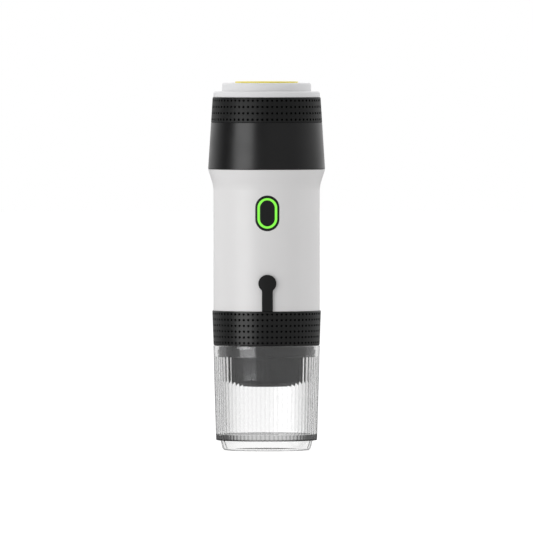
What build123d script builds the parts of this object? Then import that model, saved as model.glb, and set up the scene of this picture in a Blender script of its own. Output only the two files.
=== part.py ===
from build123d import *
import math
import os

# Portable espresso maker. From the table up: a clear ribbed cup, a black dotted grip ring with the
# charging port's plug on a strap, a white body with the power button, a black water tank section with a
# dotted grip band, and a white stepped lid with a yellow inlay.
# Millimetres. +Z is up, the origin is the middle of the cup's foot, and the front faces -Y.

# Cup
CUP_HEIGHT = 64.4
CUP_R_RIM = 32.6
CUP_R_BOTTOM = 30.95
CUP_WALL = 2.2
CUP_FLOOR = 3.6
CUP_FLOOR_ROUND = 0.8
CUP_RIM_ROUND = 0.6
CUP_CORNER = 1.1
PLAIN_BAND = 7.2
RIB_COUNT = 72
RIB_DEPTH = 0.25
FOOT_HEIGHT = 6.0
FOOT_R_TOP = 28.3
FOOT_R_BOTTOM = 26.8
FOOT_ROUND = 1.4
FOOT_RING = 3.4
FOOT_DISH = 1.0

# Grip ring below the body and grip band above the tank section, with their rows of round pits
RING_HEIGHT = 21.1
RING_PROUD = 0.7
RING_TAPER = 0.75
RING_ROWS = 6
BAND_HEIGHT = 15.5
BAND_THICKNESS = 1.0
BAND_ROWS = 4
PIT_COLUMNS = 70
PIT_D = 1.4
PIT_DEPTH = 0.5
GRIP_ROUND = 0.4

# White body
BODY_R = 32.6
BODY_WALL = 2.2
RING_SEAT_DEPTH = 0.8
FLARE_HEIGHT = 10.4
FLARE_ROUND = 14.0
LIP_ROUND = 0.5

# Tank section
SHELL_R_BOTTOM = 35.9
SHELL_R_TOP = 33.1
SHELL_WALL = 2.2
SPIGOT_DEPTH = 5.0
SPIGOT_WALL = 1.6
NECK_R = 31.0
NECK_DEPTH = 8.4
LEDGE_THICKNESS = 1.6
TANK_R = 28.4
TANK_WALL = 0.8
TANK_DEPTH = 32.0
TANK_DROP = 2.9
TANK_FLANGE = 1.6
TANK_CORNER = 1.5
TANK_CLEARANCE = 0.2

# Lid
LID_RIM_R = 32.6
LID_RIM_HEIGHT = 3.6
LID_STEP_R = 27.3
LID_STEP_HEIGHT = 5.2
LID_ROUND = 1.3
LID_WALL = 2.0
LID_CLEARANCE = 0.3
INLAY_R = 19.3
INLAY_RISE = 1.0
INLAY_EDGE = 0.8
INLAY_DEPTH = 1.0
SEAL_THICKNESS = 1.5

# Brewing head, outlet and coffee basket
SKIRT_R = 29.3
SKIRT_HEIGHT = 7.2
SKIRT_LIP = 0.5
SKIRT_LIP_HEIGHT = 1.0
LUG_RISE = 1.5
LUG_REACH = 0.6
LUG_WIDTH = 7.0
LUG_HEIGHT = 2.6
HEAD_FLANGE = 2.6
HEAD_HEIGHT = 15.0
HEAD_PLATE = 5.0
COLLAR_BORE_R = 25.3
COLLAR_CLEARANCE = 0.3
OUTLET_R_TOP = 24.2
OUTLET_R_BOTTOM = 23.9
OUTLET_FACE_R = 15.0
OUTLET_DROP = 18.2
OUTLET_SHOULDER = 3.1
OUTLET_NECK = 2.4
OUTLET_WALL = 2.0
OUTLET_ROUND = 1.6
BASKET_R = 20.3
BASKET_WALL = 0.6
BASKET_DEPTH = 21.4
BASKET_RIM = 2.8
BASKET_CLEARANCE = 0.4
BASKET_FIRST_RING = 6
GASKET_THICKNESS = 1.5
GASKET_WIDTH = 4.4
SCREEN_R = 19.4
SCREEN_THICKNESS = 0.6
SCREEN_GAP = 0.9
SCREEN_BOSS_R = 4.8
SCREEN_FIRST_RING = 8
HOLE_R = 0.7
HOLE_RINGS = 3
NOZZLE_R = 4.0
NOZZLE_FLANGE = 1.2
NOZZLE_BORE_R = 0.8

# Trays, cells and links inside the body
TRAY_HEIGHT = 7.0
TRAY_FLOOR = 4.0
TRAY_CLEARANCE = 0.3
CELL_D = 18.5
CELL_LENGTH = 65.2
CELL_GAP = 1.1
CELL_SPREAD = 74.0
POCKET_CLEARANCE = 0.2
LINK_THICKNESS = 0.3
LINK_WIDTH = 8.0

# Pump, motor and tubes
PUMP_Y = -8.0
PUMP_D = 24.4
PUMP_CUSHION = 2.5
PUMP_COVER_HEIGHT = 8.0
DIAPHRAGM_THICKNESS = 2.0
PUMP_BODY_HEIGHT = 12.0
PUMP_CHAMBER_R = 8.0
MOTOR_LENGTH = 30.8
MOTOR_WALL = 1.0
MOTOR_CAP = 2.4
MAGNET_THICKNESS = 2.0
MAGNET_SWEEP = 130.0
ARMATURE_GAP = 0.6
SHAFT_R = 1.0
SHAFT_STICKOUT = 1.2
BUSH_R = 2.6
BUSH_LENGTH = 3.0
BUSH_CLEARANCE = 0.04
CAM_R = 4.0
CAM_OFFSET = 1.2
CAM_THICKNESS = 5.0
BARB_R = 1.9
BARB_BORE_R = 1.1
BARB_LENGTH = 2.5
TUBE_WALL = 1.1
TUBE_BEND = 5.0
TUBE_X = 19.5
TUBE_Y = -12.5

# Control board
BOARD_WIDTH = 30.0
BOARD_THICKNESS = 1.6
BOARD_Y = -22.0
LED_SIZE = 1.6
LED_HEIGHT = 0.8
PART_LENGTH = 9.0
PART_SPACING = 9.0

# Button and its light ring
BUTTON_DROP = 11.3
BEZEL_LENGTH = 22.0
BEZEL_WIDTH = 14.6
BEZEL_PROUD = 0.15
BEZEL_DEPTH = 4.4
LIGHT_LENGTH = 19.4
LIGHT_WIDTH = 12.5
LIGHT_BAND = 1.75
LIGHT_DEPTH = 2.6
BUTTON_CLEARANCE = 0.15
BUTTON_PROUD = 0.3
BUTTON_FLANGE = 0.6
BUTTON_FLANGE_THICKNESS = 0.9
BUTTON_TRAVEL = 0.8
FLANGE_GAP = 0.1
SWITCH_SIZE = 6.0
SWITCH_HEIGHT = 3.4
PLUNGER_R = 1.7
PLUNGER_ENTRY = 0.5
PLUNGER_CLEARANCE = 0.1

# Charging port and its plug
PORT_RISE = 11.7
SOCKET_R = 4.2
SOCKET_CLEARANCE = 0.2
SOCKET_BODY = 9.4
SOCKET_BODY_LENGTH = 5.8
SOCKET_BORE_R = 2.85
SOCKET_RECESS = 0.9
SOCKET_FLOOR = 1.0
PIN_R = 1.05
PIN_SETBACK = 1.4
PLUG_R = 5.3
PLUG_THICKNESS = 1.5
PLUG_SEAT_GAP = 0.25
PEG_R = 2.45
PEG_LENGTH = 2.0
STRAP_WIDTH = 6.4
STRAP_THICKNESS = 1.2
NECK_ROUND = 1.4
KNUCKLE_CLEARANCE = 0.05

# Heater, thermostat and probe under the tank
HEATER_R = 19.5
HEATER_THICKNESS = 3.0
ELEMENT_R = 1.6
ELEMENT_RING_R = 15.0
ELEMENT_SWEEP = 300.0
THERMOSTAT_R = 6.0
THERMOSTAT_HEIGHT = 4.0
HEATER_SPACE = 7.2
PROBE_R = 1.4
PROBE_LENGTH = 12.0
PROBE_DEPTH = 4.0
PROBE_X = -15.5
PROBE_Y = 16.0
FILTER_R = 3.4
FILTER_HEIGHT = 2.2

# Screws
SCREW_R = 1.25
SCREW_HEAD_R = 2.4
SCREW_HEAD = 1.1
SCREW_LENGTH = 4.2
SCREW_COUNT = 3
SCREW_START_ANGLE = -30.0

# Heights above the table, from the foot up
Z_CUP_FLOOR = FOOT_HEIGHT + CUP_FLOOR
Z_RIM = CUP_HEIGHT
Z_RIBS_TOP = Z_RIM - PLAIN_BAND
Z_RING_TOP = Z_RIM + RING_HEIGHT
Z_SKIRT = Z_RIM - SKIRT_HEIGHT
Z_OUTLET = Z_SKIRT - OUTLET_DROP
Z_FLANGE_TOP = Z_RIM + HEAD_FLANGE
Z_HEAD_UNDER = Z_FLANGE_TOP + HEAD_HEIGHT
Z_HEAD_TOP = Z_HEAD_UNDER + HEAD_PLATE
Z_SCREWS = Z_FLANGE_TOP + HEAD_HEIGHT / 2
Z_GASKET = Z_HEAD_UNDER - GASKET_THICKNESS
Z_BASKET_RIM = Z_GASKET - BASKET_WALL
Z_BASKET_FLOOR = Z_GASKET - BASKET_DEPTH
Z_TRAY = Z_HEAD_TOP + TRAY_FLOOR
Z_PORT = Z_TRAY + PORT_RISE
Z_CELLS = Z_TRAY + LINK_THICKNESS
Z_CELLS_TOP = Z_CELLS + CELL_LENGTH
Z_UPPER_TRAY = Z_CELLS_TOP + LINK_THICKNESS
Z_BUTTON = Z_UPPER_TRAY - BUTTON_DROP
Z_PUMP = Z_TRAY + PUMP_CUSHION
Z_INLET = Z_PUMP + PUMP_COVER_HEIGHT / 2
Z_DIAPHRAGM = Z_PUMP + PUMP_COVER_HEIGHT
Z_PUMP_BODY = Z_DIAPHRAGM + DIAPHRAGM_THICKNESS
Z_MOTOR = Z_PUMP_BODY + PUMP_BODY_HEIGHT
Z_CAN = Z_MOTOR + MOTOR_CAP
Z_MOTOR_TOP = Z_MOTOR + MOTOR_LENGTH
Z_HEATER = Z_UPPER_TRAY + TRAY_FLOOR + HEATER_SPACE + THERMOSTAT_HEIGHT
Z_TANK_UNDER = Z_HEATER + HEATER_THICKNESS
Z_TANK_FLOOR = Z_TANK_UNDER + TANK_WALL
Z_TANK_RIM = Z_TANK_FLOOR + TANK_DEPTH
Z_LEDGE = Z_TANK_RIM - TANK_FLANGE
Z_SEAL = Z_TANK_RIM + SEAL_THICKNESS
Z_SEAM = Z_TANK_UNDER - TANK_DROP
Z_FLARE = Z_SEAM - FLARE_HEIGHT
Z_SHELL_TOP = Z_TANK_RIM + NECK_DEPTH
Z_BAND = Z_SHELL_TOP - BAND_HEIGHT
Z_LID_STEP = Z_SHELL_TOP + LID_RIM_HEIGHT
Z_LID_TOP = Z_LID_STEP + LID_STEP_HEIGHT
Z_RECESS = Z_LID_TOP - INLAY_DEPTH

# Radii, depths behind the front and places that follow from the sizes above
OUTSIDE = 2 * SHELL_R_BOTTOM
BAY_R = BODY_R - BODY_WALL
TRAY_R = BAY_R - TRAY_CLEARANCE
RING_SEAT_R = BODY_R - RING_SEAT_DEPTH
RING_R_TOP = BODY_R + RING_PROUD
RING_R_BOTTOM = RING_R_TOP - RING_TAPER
OUTLET_FIT_R = COLLAR_BORE_R - COLLAR_CLEARANCE
BASKET_BORE_R = BASKET_R + BASKET_WALL + BASKET_CLEARANCE
BASKET_RIM_R = BASKET_R + BASKET_RIM
LEDGE_R = TANK_R + TANK_WALL + TANK_CLEARANCE
LID_SKIRT_R = NECK_R - LID_CLEARANCE
PUMP_R = PUMP_D / 2
CAN_BORE_R = PUMP_R - MOTOR_WALL
ARMATURE_R = CAN_BORE_R - MAGNET_THICKNESS - ARMATURE_GAP
TUBE_R = BARB_R + TUBE_WALL
CELL_RING_R = BAY_R - CELL_GAP - CELL_D / 2
BOARD_FRONT = -BOARD_Y + BOARD_THICKNESS
SWITCH_FRONT = BOARD_FRONT + SWITCH_HEIGHT
BEZEL_BACK = BODY_R - BEZEL_DEPTH
LIGHT_BACK = BODY_R - LIGHT_DEPTH
FLANGE_FRONT = LIGHT_BACK - FLANGE_GAP
BUTTON_BACK = FLANGE_FRONT - BUTTON_FLANGE_THICKNESS
HOLE_LENGTH = LIGHT_LENGTH - 2 * LIGHT_BAND
HOLE_WIDTH = LIGHT_WIDTH - 2 * LIGHT_BAND
SOCKET_FRONT = BODY_R - SOCKET_RECESS
PLUG_BACK_R = BODY_R + PLUG_SEAT_GAP
KNUCKLE_R = STRAP_THICKNESS / 2
HINGE_FRONT = PLUG_BACK_R + KNUCKLE_R
HINGE_Z = Z_RING_TOP + KNUCKLE_CLEARANCE + KNUCKLE_R
PUMP_PLANE = Plane(origin=(0, PUMP_Y, 0), x_dir=(1, 0, 0), z_dir=(0, -1, 0))
PUMP_AXIS = Axis((0, PUMP_Y, 0), (0, 0, 1))


def along(low, high, share):
    """The value a share of the way from low to high."""
    return low + (high - low) * share


def cup_radius(z):
    """Outside radius of the cup's tapered wall at a height."""
    return along(CUP_R_BOTTOM, CUP_R_RIM, (z - FOOT_HEIGHT) / (Z_RIM - FOOT_HEIGHT))


def ring_radius(z):
    """Outside radius of the tapered grip ring at a height."""
    return along(RING_R_BOTTOM, RING_R_TOP, (z - Z_RIM) / RING_HEIGHT)


def shell_radius(z):
    """Outside radius of the tapered tank section at a height."""
    return along(SHELL_R_BOTTOM, SHELL_R_TOP, (z - Z_SEAM) / (Z_SHELL_TOP - Z_SEAM))


SPIGOT_R = along(SHELL_R_BOTTOM, BODY_R, SPIGOT_DEPTH / FLARE_HEIGHT) - BODY_WALL


def half_section(points, rounds=(), plane=Plane.XZ):
    """A face beside the Z axis from (radius, height) points; rounds are (radius, height, fillet)."""
    with BuildSketch(plane) as section:
        with BuildLine():
            Polyline(*points, close=True)
        make_face()
        for radius, height, size in rounds:
            fillet(section.vertices().sort_by_distance((radius, height, 0))[0], size)
    return section.sketch


def ring_section(inner, outer, low, high, plane=Plane.XZ):
    """The half section of a plain ring or disc."""
    return half_section([(inner, low), (outer, low), (outer, high), (inner, high)], plane=plane)


def reeded_outline(radius, z):
    """A closed outline of convex reeds whose crests lie on the radius."""
    step = 2 * math.pi / RIB_COUNT

    def point(r, reeds):
        return (r * math.cos(reeds * step), r * math.sin(reeds * step))

    with BuildSketch(Plane.XY.offset(z)) as outline:
        with BuildLine():
            for rib in range(RIB_COUNT):
                valley = point(radius - RIB_DEPTH, rib)
                next_valley = point(radius - RIB_DEPTH, rib + 1)
                ThreePointArc(valley, point(radius, rib + 0.5), next_valley)
        make_face()
    return outline.sketch


def stadium(length, width, depth=0.0):
    """An upright stadium round the button's centre, in the plane y = -depth."""
    with BuildSketch(Plane.XZ.offset(depth)) as outline:
        with Locations((0, Z_BUTTON)):
            SlotOverall(length, width, rotation=90)
    return outline.sketch


def port_circle(radius, depth=0.0):
    """A circle round the charging port's axis, in the plane y = -depth."""
    with BuildSketch(Plane.XZ.offset(depth)) as outline:
        with Locations((0, Z_PORT)):
            Circle(radius)
    return outline.sketch


def strap_outline():
    """The upright strip from the strap's bend to the plug's head, with hollow rounds at the neck."""
    with BuildSketch(Plane.XZ) as outline:
        with Locations((0, (HINGE_Z + Z_PORT) / 2)):
            Rectangle(STRAP_WIDTH, Z_PORT - HINGE_Z)
        with Locations((0, Z_PORT)):
            Circle(PLUG_R)
        neck_corners = outline.vertices().sort_by(Axis.Y)[2:4]
        fillet(neck_corners, NECK_ROUND)
    return outline.sketch


def wrapped(outline, outer, inner=0.0):
    """The prism forward of an upright outline, cut to lie between two radii about the Z axis."""
    with BuildPart() as pad:
        extrude(outline, amount=OUTSIDE)
        with Locations((0, 0, Z_SEAM / 2)):
            Cylinder(outer, Z_SEAM, mode=Mode.INTERSECT)
            if inner:
                Cylinder(inner, Z_SEAM, mode=Mode.SUBTRACT)
    return pad.part


def pits(rows, z_low, z_high, radius_at):
    """Cutters for rows of round pits all round a band, with one column of them at the front."""
    pitch = (z_high - z_low) / rows
    with BuildPart() as pit:
        Cylinder(PIT_D / 2, 2 * PIT_DEPTH, rotation=(0, 90, 0))
    cutters = []
    for row in range(rows):
        z = z_low + (row + 0.5) * pitch
        for column in range(PIT_COLUMNS):
            angle = 360 * column / PIT_COLUMNS - 90
            cutters.append(Rot(0, 0, angle) * Pos(radius_at(z), 0, z) * pit.part)
    return cutters


def cell_places():
    """Centres of the three cells in plan, from right to left."""
    for angle in (90 - CELL_SPREAD, 90, 90 + CELL_SPREAD):
        turn = math.radians(angle)
        yield (CELL_RING_R * math.cos(turn), CELL_RING_R * math.sin(turn))


def link(first, second, z):
    """A nickel strip over the ends of two cells."""
    span = Vector(*second) - Vector(*first)
    middle = (Vector(*second) + Vector(*first)) / 2
    with BuildSketch(Plane.XY.offset(z)) as outline:
        with Locations((middle.X, middle.Y)):
            SlotCenterToCenter(span.length, LINK_WIDTH, rotation=math.degrees(math.atan2(span.Y, span.X)))
    return outline.sketch


# Clear cup: reeded wall, plain band under the rim, thick floor and a narrower foot
with BuildPart() as cup:
    reeds = [reeded_outline(cup_radius(z), z) for z in (FOOT_HEIGHT, Z_RIBS_TOP)]
    loft(reeds, ruled=True)
    revolve(half_section([
        (0, Z_RIBS_TOP), (cup_radius(Z_RIBS_TOP), Z_RIBS_TOP), (CUP_R_RIM, Z_RIM), (0, Z_RIM),
    ], [(CUP_R_RIM, Z_RIM, CUP_RIM_ROUND)]), axis=Axis.Z)
    revolve(half_section([
        (0, FOOT_DISH), (FOOT_R_BOTTOM - FOOT_RING, FOOT_DISH), (FOOT_R_BOTTOM - FOOT_RING, 0),
        (FOOT_R_BOTTOM, 0), (FOOT_R_TOP, FOOT_HEIGHT), (0, FOOT_HEIGHT),
    ], [(FOOT_R_BOTTOM, 0, FOOT_ROUND)]), axis=Axis.Z)
    corner = cup_radius(FOOT_HEIGHT) - CUP_CORNER
    revolve(half_section([
        (corner, FOOT_HEIGHT), (OUTSIDE, FOOT_HEIGHT), (OUTSIDE, FOOT_HEIGHT + OUTSIDE - corner),
    ]), axis=Axis.Z, mode=Mode.SUBTRACT)
    bore = cup_radius(Z_CUP_FLOOR) - CUP_WALL
    revolve(half_section([
        (0, Z_CUP_FLOOR), (bore, Z_CUP_FLOOR), (CUP_R_RIM - CUP_WALL, Z_RIM), (0, Z_RIM),
    ], [(bore, Z_CUP_FLOOR, CUP_FLOOR_ROUND)]), axis=Axis.Z, mode=Mode.SUBTRACT)

# Outlet: the round holder of the coffee basket, with its chamber below and a shoulder at the bottom
with BuildPart() as outlet:
    revolve(half_section([
        (NOZZLE_R, Z_OUTLET), (OUTLET_FACE_R, Z_OUTLET), (OUTLET_R_BOTTOM, Z_OUTLET + OUTLET_SHOULDER),
        (OUTLET_R_TOP, Z_SKIRT), (OUTLET_FIT_R, Z_SKIRT + OUTLET_NECK), (OUTLET_FIT_R, Z_BASKET_RIM),
        (BASKET_BORE_R, Z_BASKET_RIM), (BASKET_BORE_R, Z_BASKET_FLOOR - BASKET_WALL),
        (OUTLET_R_BOTTOM - OUTLET_WALL, Z_OUTLET + OUTLET_SHOULDER + OUTLET_WALL),
        (OUTLET_FACE_R, Z_OUTLET + OUTLET_WALL), (NOZZLE_R, Z_OUTLET + OUTLET_WALL),
    ], [
        (OUTLET_FACE_R, Z_OUTLET, OUTLET_ROUND),
        (OUTLET_R_BOTTOM, Z_OUTLET + OUTLET_SHOULDER, OUTLET_ROUND),
    ]), axis=Axis.Z)

# Nozzle insert in the outlet's floor
with BuildPart() as crema_nozzle:
    z_seat = Z_OUTLET + OUTLET_WALL
    revolve(half_section([
        (NOZZLE_R - NOZZLE_FLANGE, Z_OUTLET), (NOZZLE_R, Z_OUTLET), (NOZZLE_R, z_seat),
        (NOZZLE_R + NOZZLE_FLANGE, z_seat), (NOZZLE_R + NOZZLE_FLANGE, z_seat + NOZZLE_FLANGE),
        (NOZZLE_BORE_R, z_seat + NOZZLE_FLANGE), (NOZZLE_BORE_R, z_seat),
    ]), axis=Axis.Z)

# Coffee basket: a pressed steel cup with a perforated floor, hung by its rim in the outlet
with BuildPart() as filter_basket:
    revolve(half_section([
        (0, Z_BASKET_FLOOR - BASKET_WALL), (BASKET_R + BASKET_WALL, Z_BASKET_FLOOR - BASKET_WALL),
        (BASKET_R + BASKET_WALL, Z_BASKET_RIM), (BASKET_RIM_R, Z_BASKET_RIM), (BASKET_RIM_R, Z_GASKET),
        (BASKET_R, Z_GASKET), (BASKET_R, Z_BASKET_FLOOR), (0, Z_BASKET_FLOOR),
    ]), axis=Axis.Z)
    with BuildSketch(Plane.XY.offset(Z_BASKET_FLOOR)):
        Circle(HOLE_R)
        for ring in range(1, HOLE_RINGS + 1):
            with PolarLocations(BASKET_R * ring / (HOLE_RINGS + 1), BASKET_FIRST_RING * ring):
                Circle(HOLE_R)
    extrude(amount=-BASKET_WALL, mode=Mode.SUBTRACT)

# Brewing head: a skirt that plugs into the cup, a flange that stands on the cup's rim, a collar round
# the outlet and a top plate with the hot water inlet
with BuildPart() as brew_head:
    revolve(half_section([
        (COLLAR_BORE_R, Z_SKIRT), (SKIRT_R + SKIRT_LIP, Z_SKIRT),
        (SKIRT_R + SKIRT_LIP, Z_SKIRT + SKIRT_LIP_HEIGHT), (SKIRT_R, Z_SKIRT + SKIRT_LIP_HEIGHT),
        (SKIRT_R, Z_RIM),
        (RING_SEAT_R, Z_RIM), (RING_SEAT_R, Z_FLANGE_TOP), (TRAY_R, Z_FLANGE_TOP), (TRAY_R, Z_HEAD_TOP),
        (0, Z_HEAD_TOP), (0, Z_HEAD_UNDER), (COLLAR_BORE_R, Z_HEAD_UNDER),
    ]), axis=Axis.Z)
    with BuildSketch(Plane.XY.offset(Z_SKIRT + LUG_RISE)):
        Rectangle(2 * OUTSIDE, LUG_WIDTH)
        Circle(SKIRT_R + LUG_REACH, mode=Mode.INTERSECT)
        Circle(along(COLLAR_BORE_R, SKIRT_R, 0.5), mode=Mode.SUBTRACT)
    extrude(amount=LUG_HEIGHT)
    with BuildSketch(Plane.XY.offset(Z_HEAD_UNDER)):
        Circle(SCREEN_R)
        Circle(SCREEN_BOSS_R, mode=Mode.SUBTRACT)
    extrude(amount=SCREEN_GAP, mode=Mode.SUBTRACT)
    with BuildSketch(Plane.XY.offset(Z_HEAD_TOP)):
        with Locations((0, PUMP_Y)):
            Circle(BARB_R)
    extrude(amount=BARB_LENGTH)
    with BuildSketch(Plane.XY.offset(Z_HEAD_UNDER)):
        with Locations((0, PUMP_Y)):
            Circle(BARB_BORE_R)
    extrude(amount=HEAD_PLATE + BARB_LENGTH, mode=Mode.SUBTRACT)
    with BuildSketch(Plane.XY.offset(Z_HEAD_UNDER)):
        Circle(SCREW_R)
    extrude(amount=SCREW_LENGTH, mode=Mode.SUBTRACT)
    with Locations(Plane.XY.offset(Z_SCREWS)):
        with PolarLocations(TRAY_R, SCREW_COUNT, start_angle=SCREW_START_ANGLE):
            Cylinder(SCREW_R, 2 * SCREW_LENGTH, rotation=(0, 90, 0), mode=Mode.SUBTRACT)

# Seal that the basket's rim presses against
with BuildPart() as head_gasket:
    revolve(ring_section(OUTLET_FIT_R - GASKET_WIDTH, OUTLET_FIT_R, Z_GASKET, Z_HEAD_UNDER), axis=Axis.Z)

# Perforated disc that spreads the water, and the screw that holds it
with BuildPart() as shower_screen:
    with BuildSketch(Plane.XY.offset(Z_HEAD_UNDER - SCREEN_THICKNESS)):
        Circle(SCREEN_R)
        Circle(SCREW_R, mode=Mode.SUBTRACT)
        for ring in range(1, HOLE_RINGS + 1):
            hole_ring_r = along(SCREEN_BOSS_R, SCREEN_R, ring / (HOLE_RINGS + 1))
            with PolarLocations(hole_ring_r, SCREEN_FIRST_RING * ring):
                Circle(HOLE_R, mode=Mode.SUBTRACT)
    extrude(amount=SCREEN_THICKNESS)

with BuildPart() as shower_screw:
    z_head = Z_HEAD_UNDER - SCREEN_THICKNESS
    revolve(half_section([
        (0, z_head - SCREW_HEAD), (SCREW_HEAD_R, z_head - SCREW_HEAD), (SCREW_HEAD_R, z_head),
        (SCREW_R, z_head), (SCREW_R, Z_HEAD_UNDER + SCREW_LENGTH), (0, Z_HEAD_UNDER + SCREW_LENGTH),
    ], [(SCREW_HEAD_R, z_head - SCREW_HEAD, SCREW_HEAD / 2)]), axis=Axis.Z)

# White body: a tube with a seat for the grip ring, a flare at the top and holes for button and port
with BuildPart() as main_body:
    revolve(half_section([
        (BAY_R, Z_FLANGE_TOP), (RING_SEAT_R, Z_FLANGE_TOP), (RING_SEAT_R, Z_RING_TOP), (BODY_R, Z_RING_TOP),
        (BODY_R, Z_FLARE), (SHELL_R_BOTTOM, Z_SEAM), (SPIGOT_R, Z_SEAM), (SPIGOT_R, Z_SEAM - SPIGOT_DEPTH),
        (BAY_R, Z_FLARE),
    ], [(BODY_R, Z_FLARE, FLARE_ROUND), (SHELL_R_BOTTOM, Z_SEAM, LIP_ROUND)]), axis=Axis.Z)
    extrude(stadium(BEZEL_LENGTH, BEZEL_WIDTH), amount=OUTSIDE, mode=Mode.SUBTRACT)
    extrude(port_circle(SOCKET_R + SOCKET_CLEARANCE), amount=OUTSIDE, mode=Mode.SUBTRACT)
    with Locations(Plane.XY.offset(Z_SCREWS)):
        with PolarLocations(RING_SEAT_R, SCREW_COUNT, start_angle=SCREW_START_ANGLE):
            Cylinder(SCREW_R, 2 * BODY_WALL, rotation=(0, 90, 0), mode=Mode.SUBTRACT)
            Cylinder(SCREW_HEAD_R, 2 * SCREW_HEAD, rotation=(0, 90, 0), mode=Mode.SUBTRACT)

# Screws that hold the brewing head in the body, under the grip ring
with BuildPart() as body_screws:
    with Locations(Plane.XY.offset(Z_SCREWS)):
        with PolarLocations(RING_SEAT_R - SCREW_HEAD / 2, SCREW_COUNT, start_angle=SCREW_START_ANGLE):
            Cylinder(SCREW_HEAD_R, SCREW_HEAD, rotation=(0, 90, 0))
        with PolarLocations(RING_SEAT_R - SCREW_HEAD - SCREW_LENGTH / 2, SCREW_COUNT,
                            start_angle=SCREW_START_ANGLE):
            Cylinder(SCREW_R, SCREW_LENGTH, rotation=(0, 90, 0))
    with Locations((0, 0, Z_SCREWS)):
        Cylinder(RING_SEAT_R, OUTSIDE, mode=Mode.INTERSECT)

# Soft grip ring round the foot of the body
with BuildPart() as grip_ring:
    revolve(half_section([
        (RING_SEAT_R, Z_RIM), (RING_R_BOTTOM, Z_RIM), (RING_R_TOP, Z_RING_TOP), (RING_SEAT_R, Z_RING_TOP),
    ], [(RING_R_BOTTOM, Z_RIM, GRIP_ROUND), (RING_R_TOP, Z_RING_TOP, GRIP_ROUND)]), axis=Axis.Z)
    add(pits(RING_ROWS, Z_RIM, Z_RING_TOP, ring_radius), mode=Mode.SUBTRACT)

# Charging port plug: a round head with a peg, on a strap that bends where it meets the ring
with BuildPart() as port_plug:
    add(wrapped(port_circle(PLUG_R), PLUG_BACK_R + PLUG_THICKNESS, PLUG_BACK_R))
    add(wrapped(strap_outline(), PLUG_BACK_R + STRAP_THICKNESS, PLUG_BACK_R))
    with Locations((0, -HINGE_FRONT, HINGE_Z)):
        Cylinder(KNUCKLE_R, STRAP_WIDTH, rotation=(0, 90, 0))
    extrude(port_circle(PEG_R, PLUG_BACK_R - PEG_LENGTH), amount=PEG_LENGTH + PLUG_THICKNESS / 2)

# Charging socket: a round nose in the wall's hole, a square rear on the board, and a centre pin
with BuildPart() as dc_socket:
    with BuildSketch(Plane.XZ.offset(BOARD_FRONT)):
        with Locations((0, Z_PORT)):
            Rectangle(SOCKET_BODY, SOCKET_BODY)
    extrude(amount=SOCKET_BODY_LENGTH)
    extrude(port_circle(SOCKET_R, BOARD_FRONT), amount=SOCKET_FRONT - BOARD_FRONT)
    extrude(port_circle(SOCKET_BORE_R, BOARD_FRONT + SOCKET_FLOOR), amount=OUTSIDE, mode=Mode.SUBTRACT)
    extrude(port_circle(PIN_R, BOARD_FRONT), amount=SOCKET_FRONT - PIN_SETBACK - BOARD_FRONT)

# Button surround, its light ring, the button and the plunger that works the switch
with BuildPart() as button_bezel:
    add(wrapped(stadium(BEZEL_LENGTH, BEZEL_WIDTH, BEZEL_BACK), BODY_R + BEZEL_PROUD))
    extrude(stadium(LIGHT_LENGTH, LIGHT_WIDTH), amount=OUTSIDE, mode=Mode.SUBTRACT)

with BuildPart() as light_ring:
    add(wrapped(stadium(LIGHT_LENGTH, LIGHT_WIDTH, LIGHT_BACK), BODY_R + BEZEL_PROUD))
    extrude(stadium(HOLE_LENGTH, HOLE_WIDTH), amount=OUTSIDE, mode=Mode.SUBTRACT)

with BuildPart() as power_button:
    narrow = 2 * BUTTON_CLEARANCE
    add(wrapped(stadium(HOLE_LENGTH - narrow, HOLE_WIDTH - narrow, BUTTON_BACK), BODY_R + BUTTON_PROUD))
    flange = stadium(HOLE_LENGTH + 2 * BUTTON_FLANGE, HOLE_WIDTH + 2 * BUTTON_FLANGE, BUTTON_BACK)
    extrude(flange, amount=BUTTON_FLANGE_THICKNESS)

with BuildPart() as switch_plunger:
    with BuildSketch(Plane.XZ.offset(SWITCH_FRONT - PLUNGER_ENTRY)):
        with Locations((0, Z_BUTTON)):
            Circle(PLUNGER_R)
    extrude(amount=BUTTON_BACK - SWITCH_FRONT + PLUNGER_ENTRY)

# Control board between the trays, with the switch, lights and power parts on its front
with BuildPart() as control_board:
    with BuildSketch(Plane.XZ.offset(-BOARD_Y)):
        with Locations((0, (Z_TRAY + Z_UPPER_TRAY) / 2)):
            Rectangle(BOARD_WIDTH, Z_UPPER_TRAY - Z_TRAY)
    extrude(amount=BOARD_THICKNESS)

with BuildPart() as tact_switch:
    with BuildSketch(Plane.XZ.offset(BOARD_FRONT)):
        with Locations((0, Z_BUTTON)):
            Rectangle(SWITCH_SIZE, SWITCH_SIZE)
    extrude(amount=SWITCH_HEIGHT)
    with BuildSketch(Plane.XZ.offset(SWITCH_FRONT)):
        with Locations((0, Z_BUTTON)):
            Circle(PLUNGER_R + PLUNGER_CLEARANCE)
    extrude(amount=-(PLUNGER_ENTRY + BUTTON_TRAVEL + PLUNGER_CLEARANCE), mode=Mode.SUBTRACT)

with BuildPart() as status_leds:
    with BuildSketch(Plane.XZ.offset(BOARD_FRONT)):
        with Locations((0, Z_BUTTON)):
            with GridLocations(LIGHT_WIDTH - LIGHT_BAND, LIGHT_LENGTH / 2, 2, 2):
                Rectangle(LED_SIZE, LED_SIZE)
    extrude(amount=LED_HEIGHT)

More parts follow.
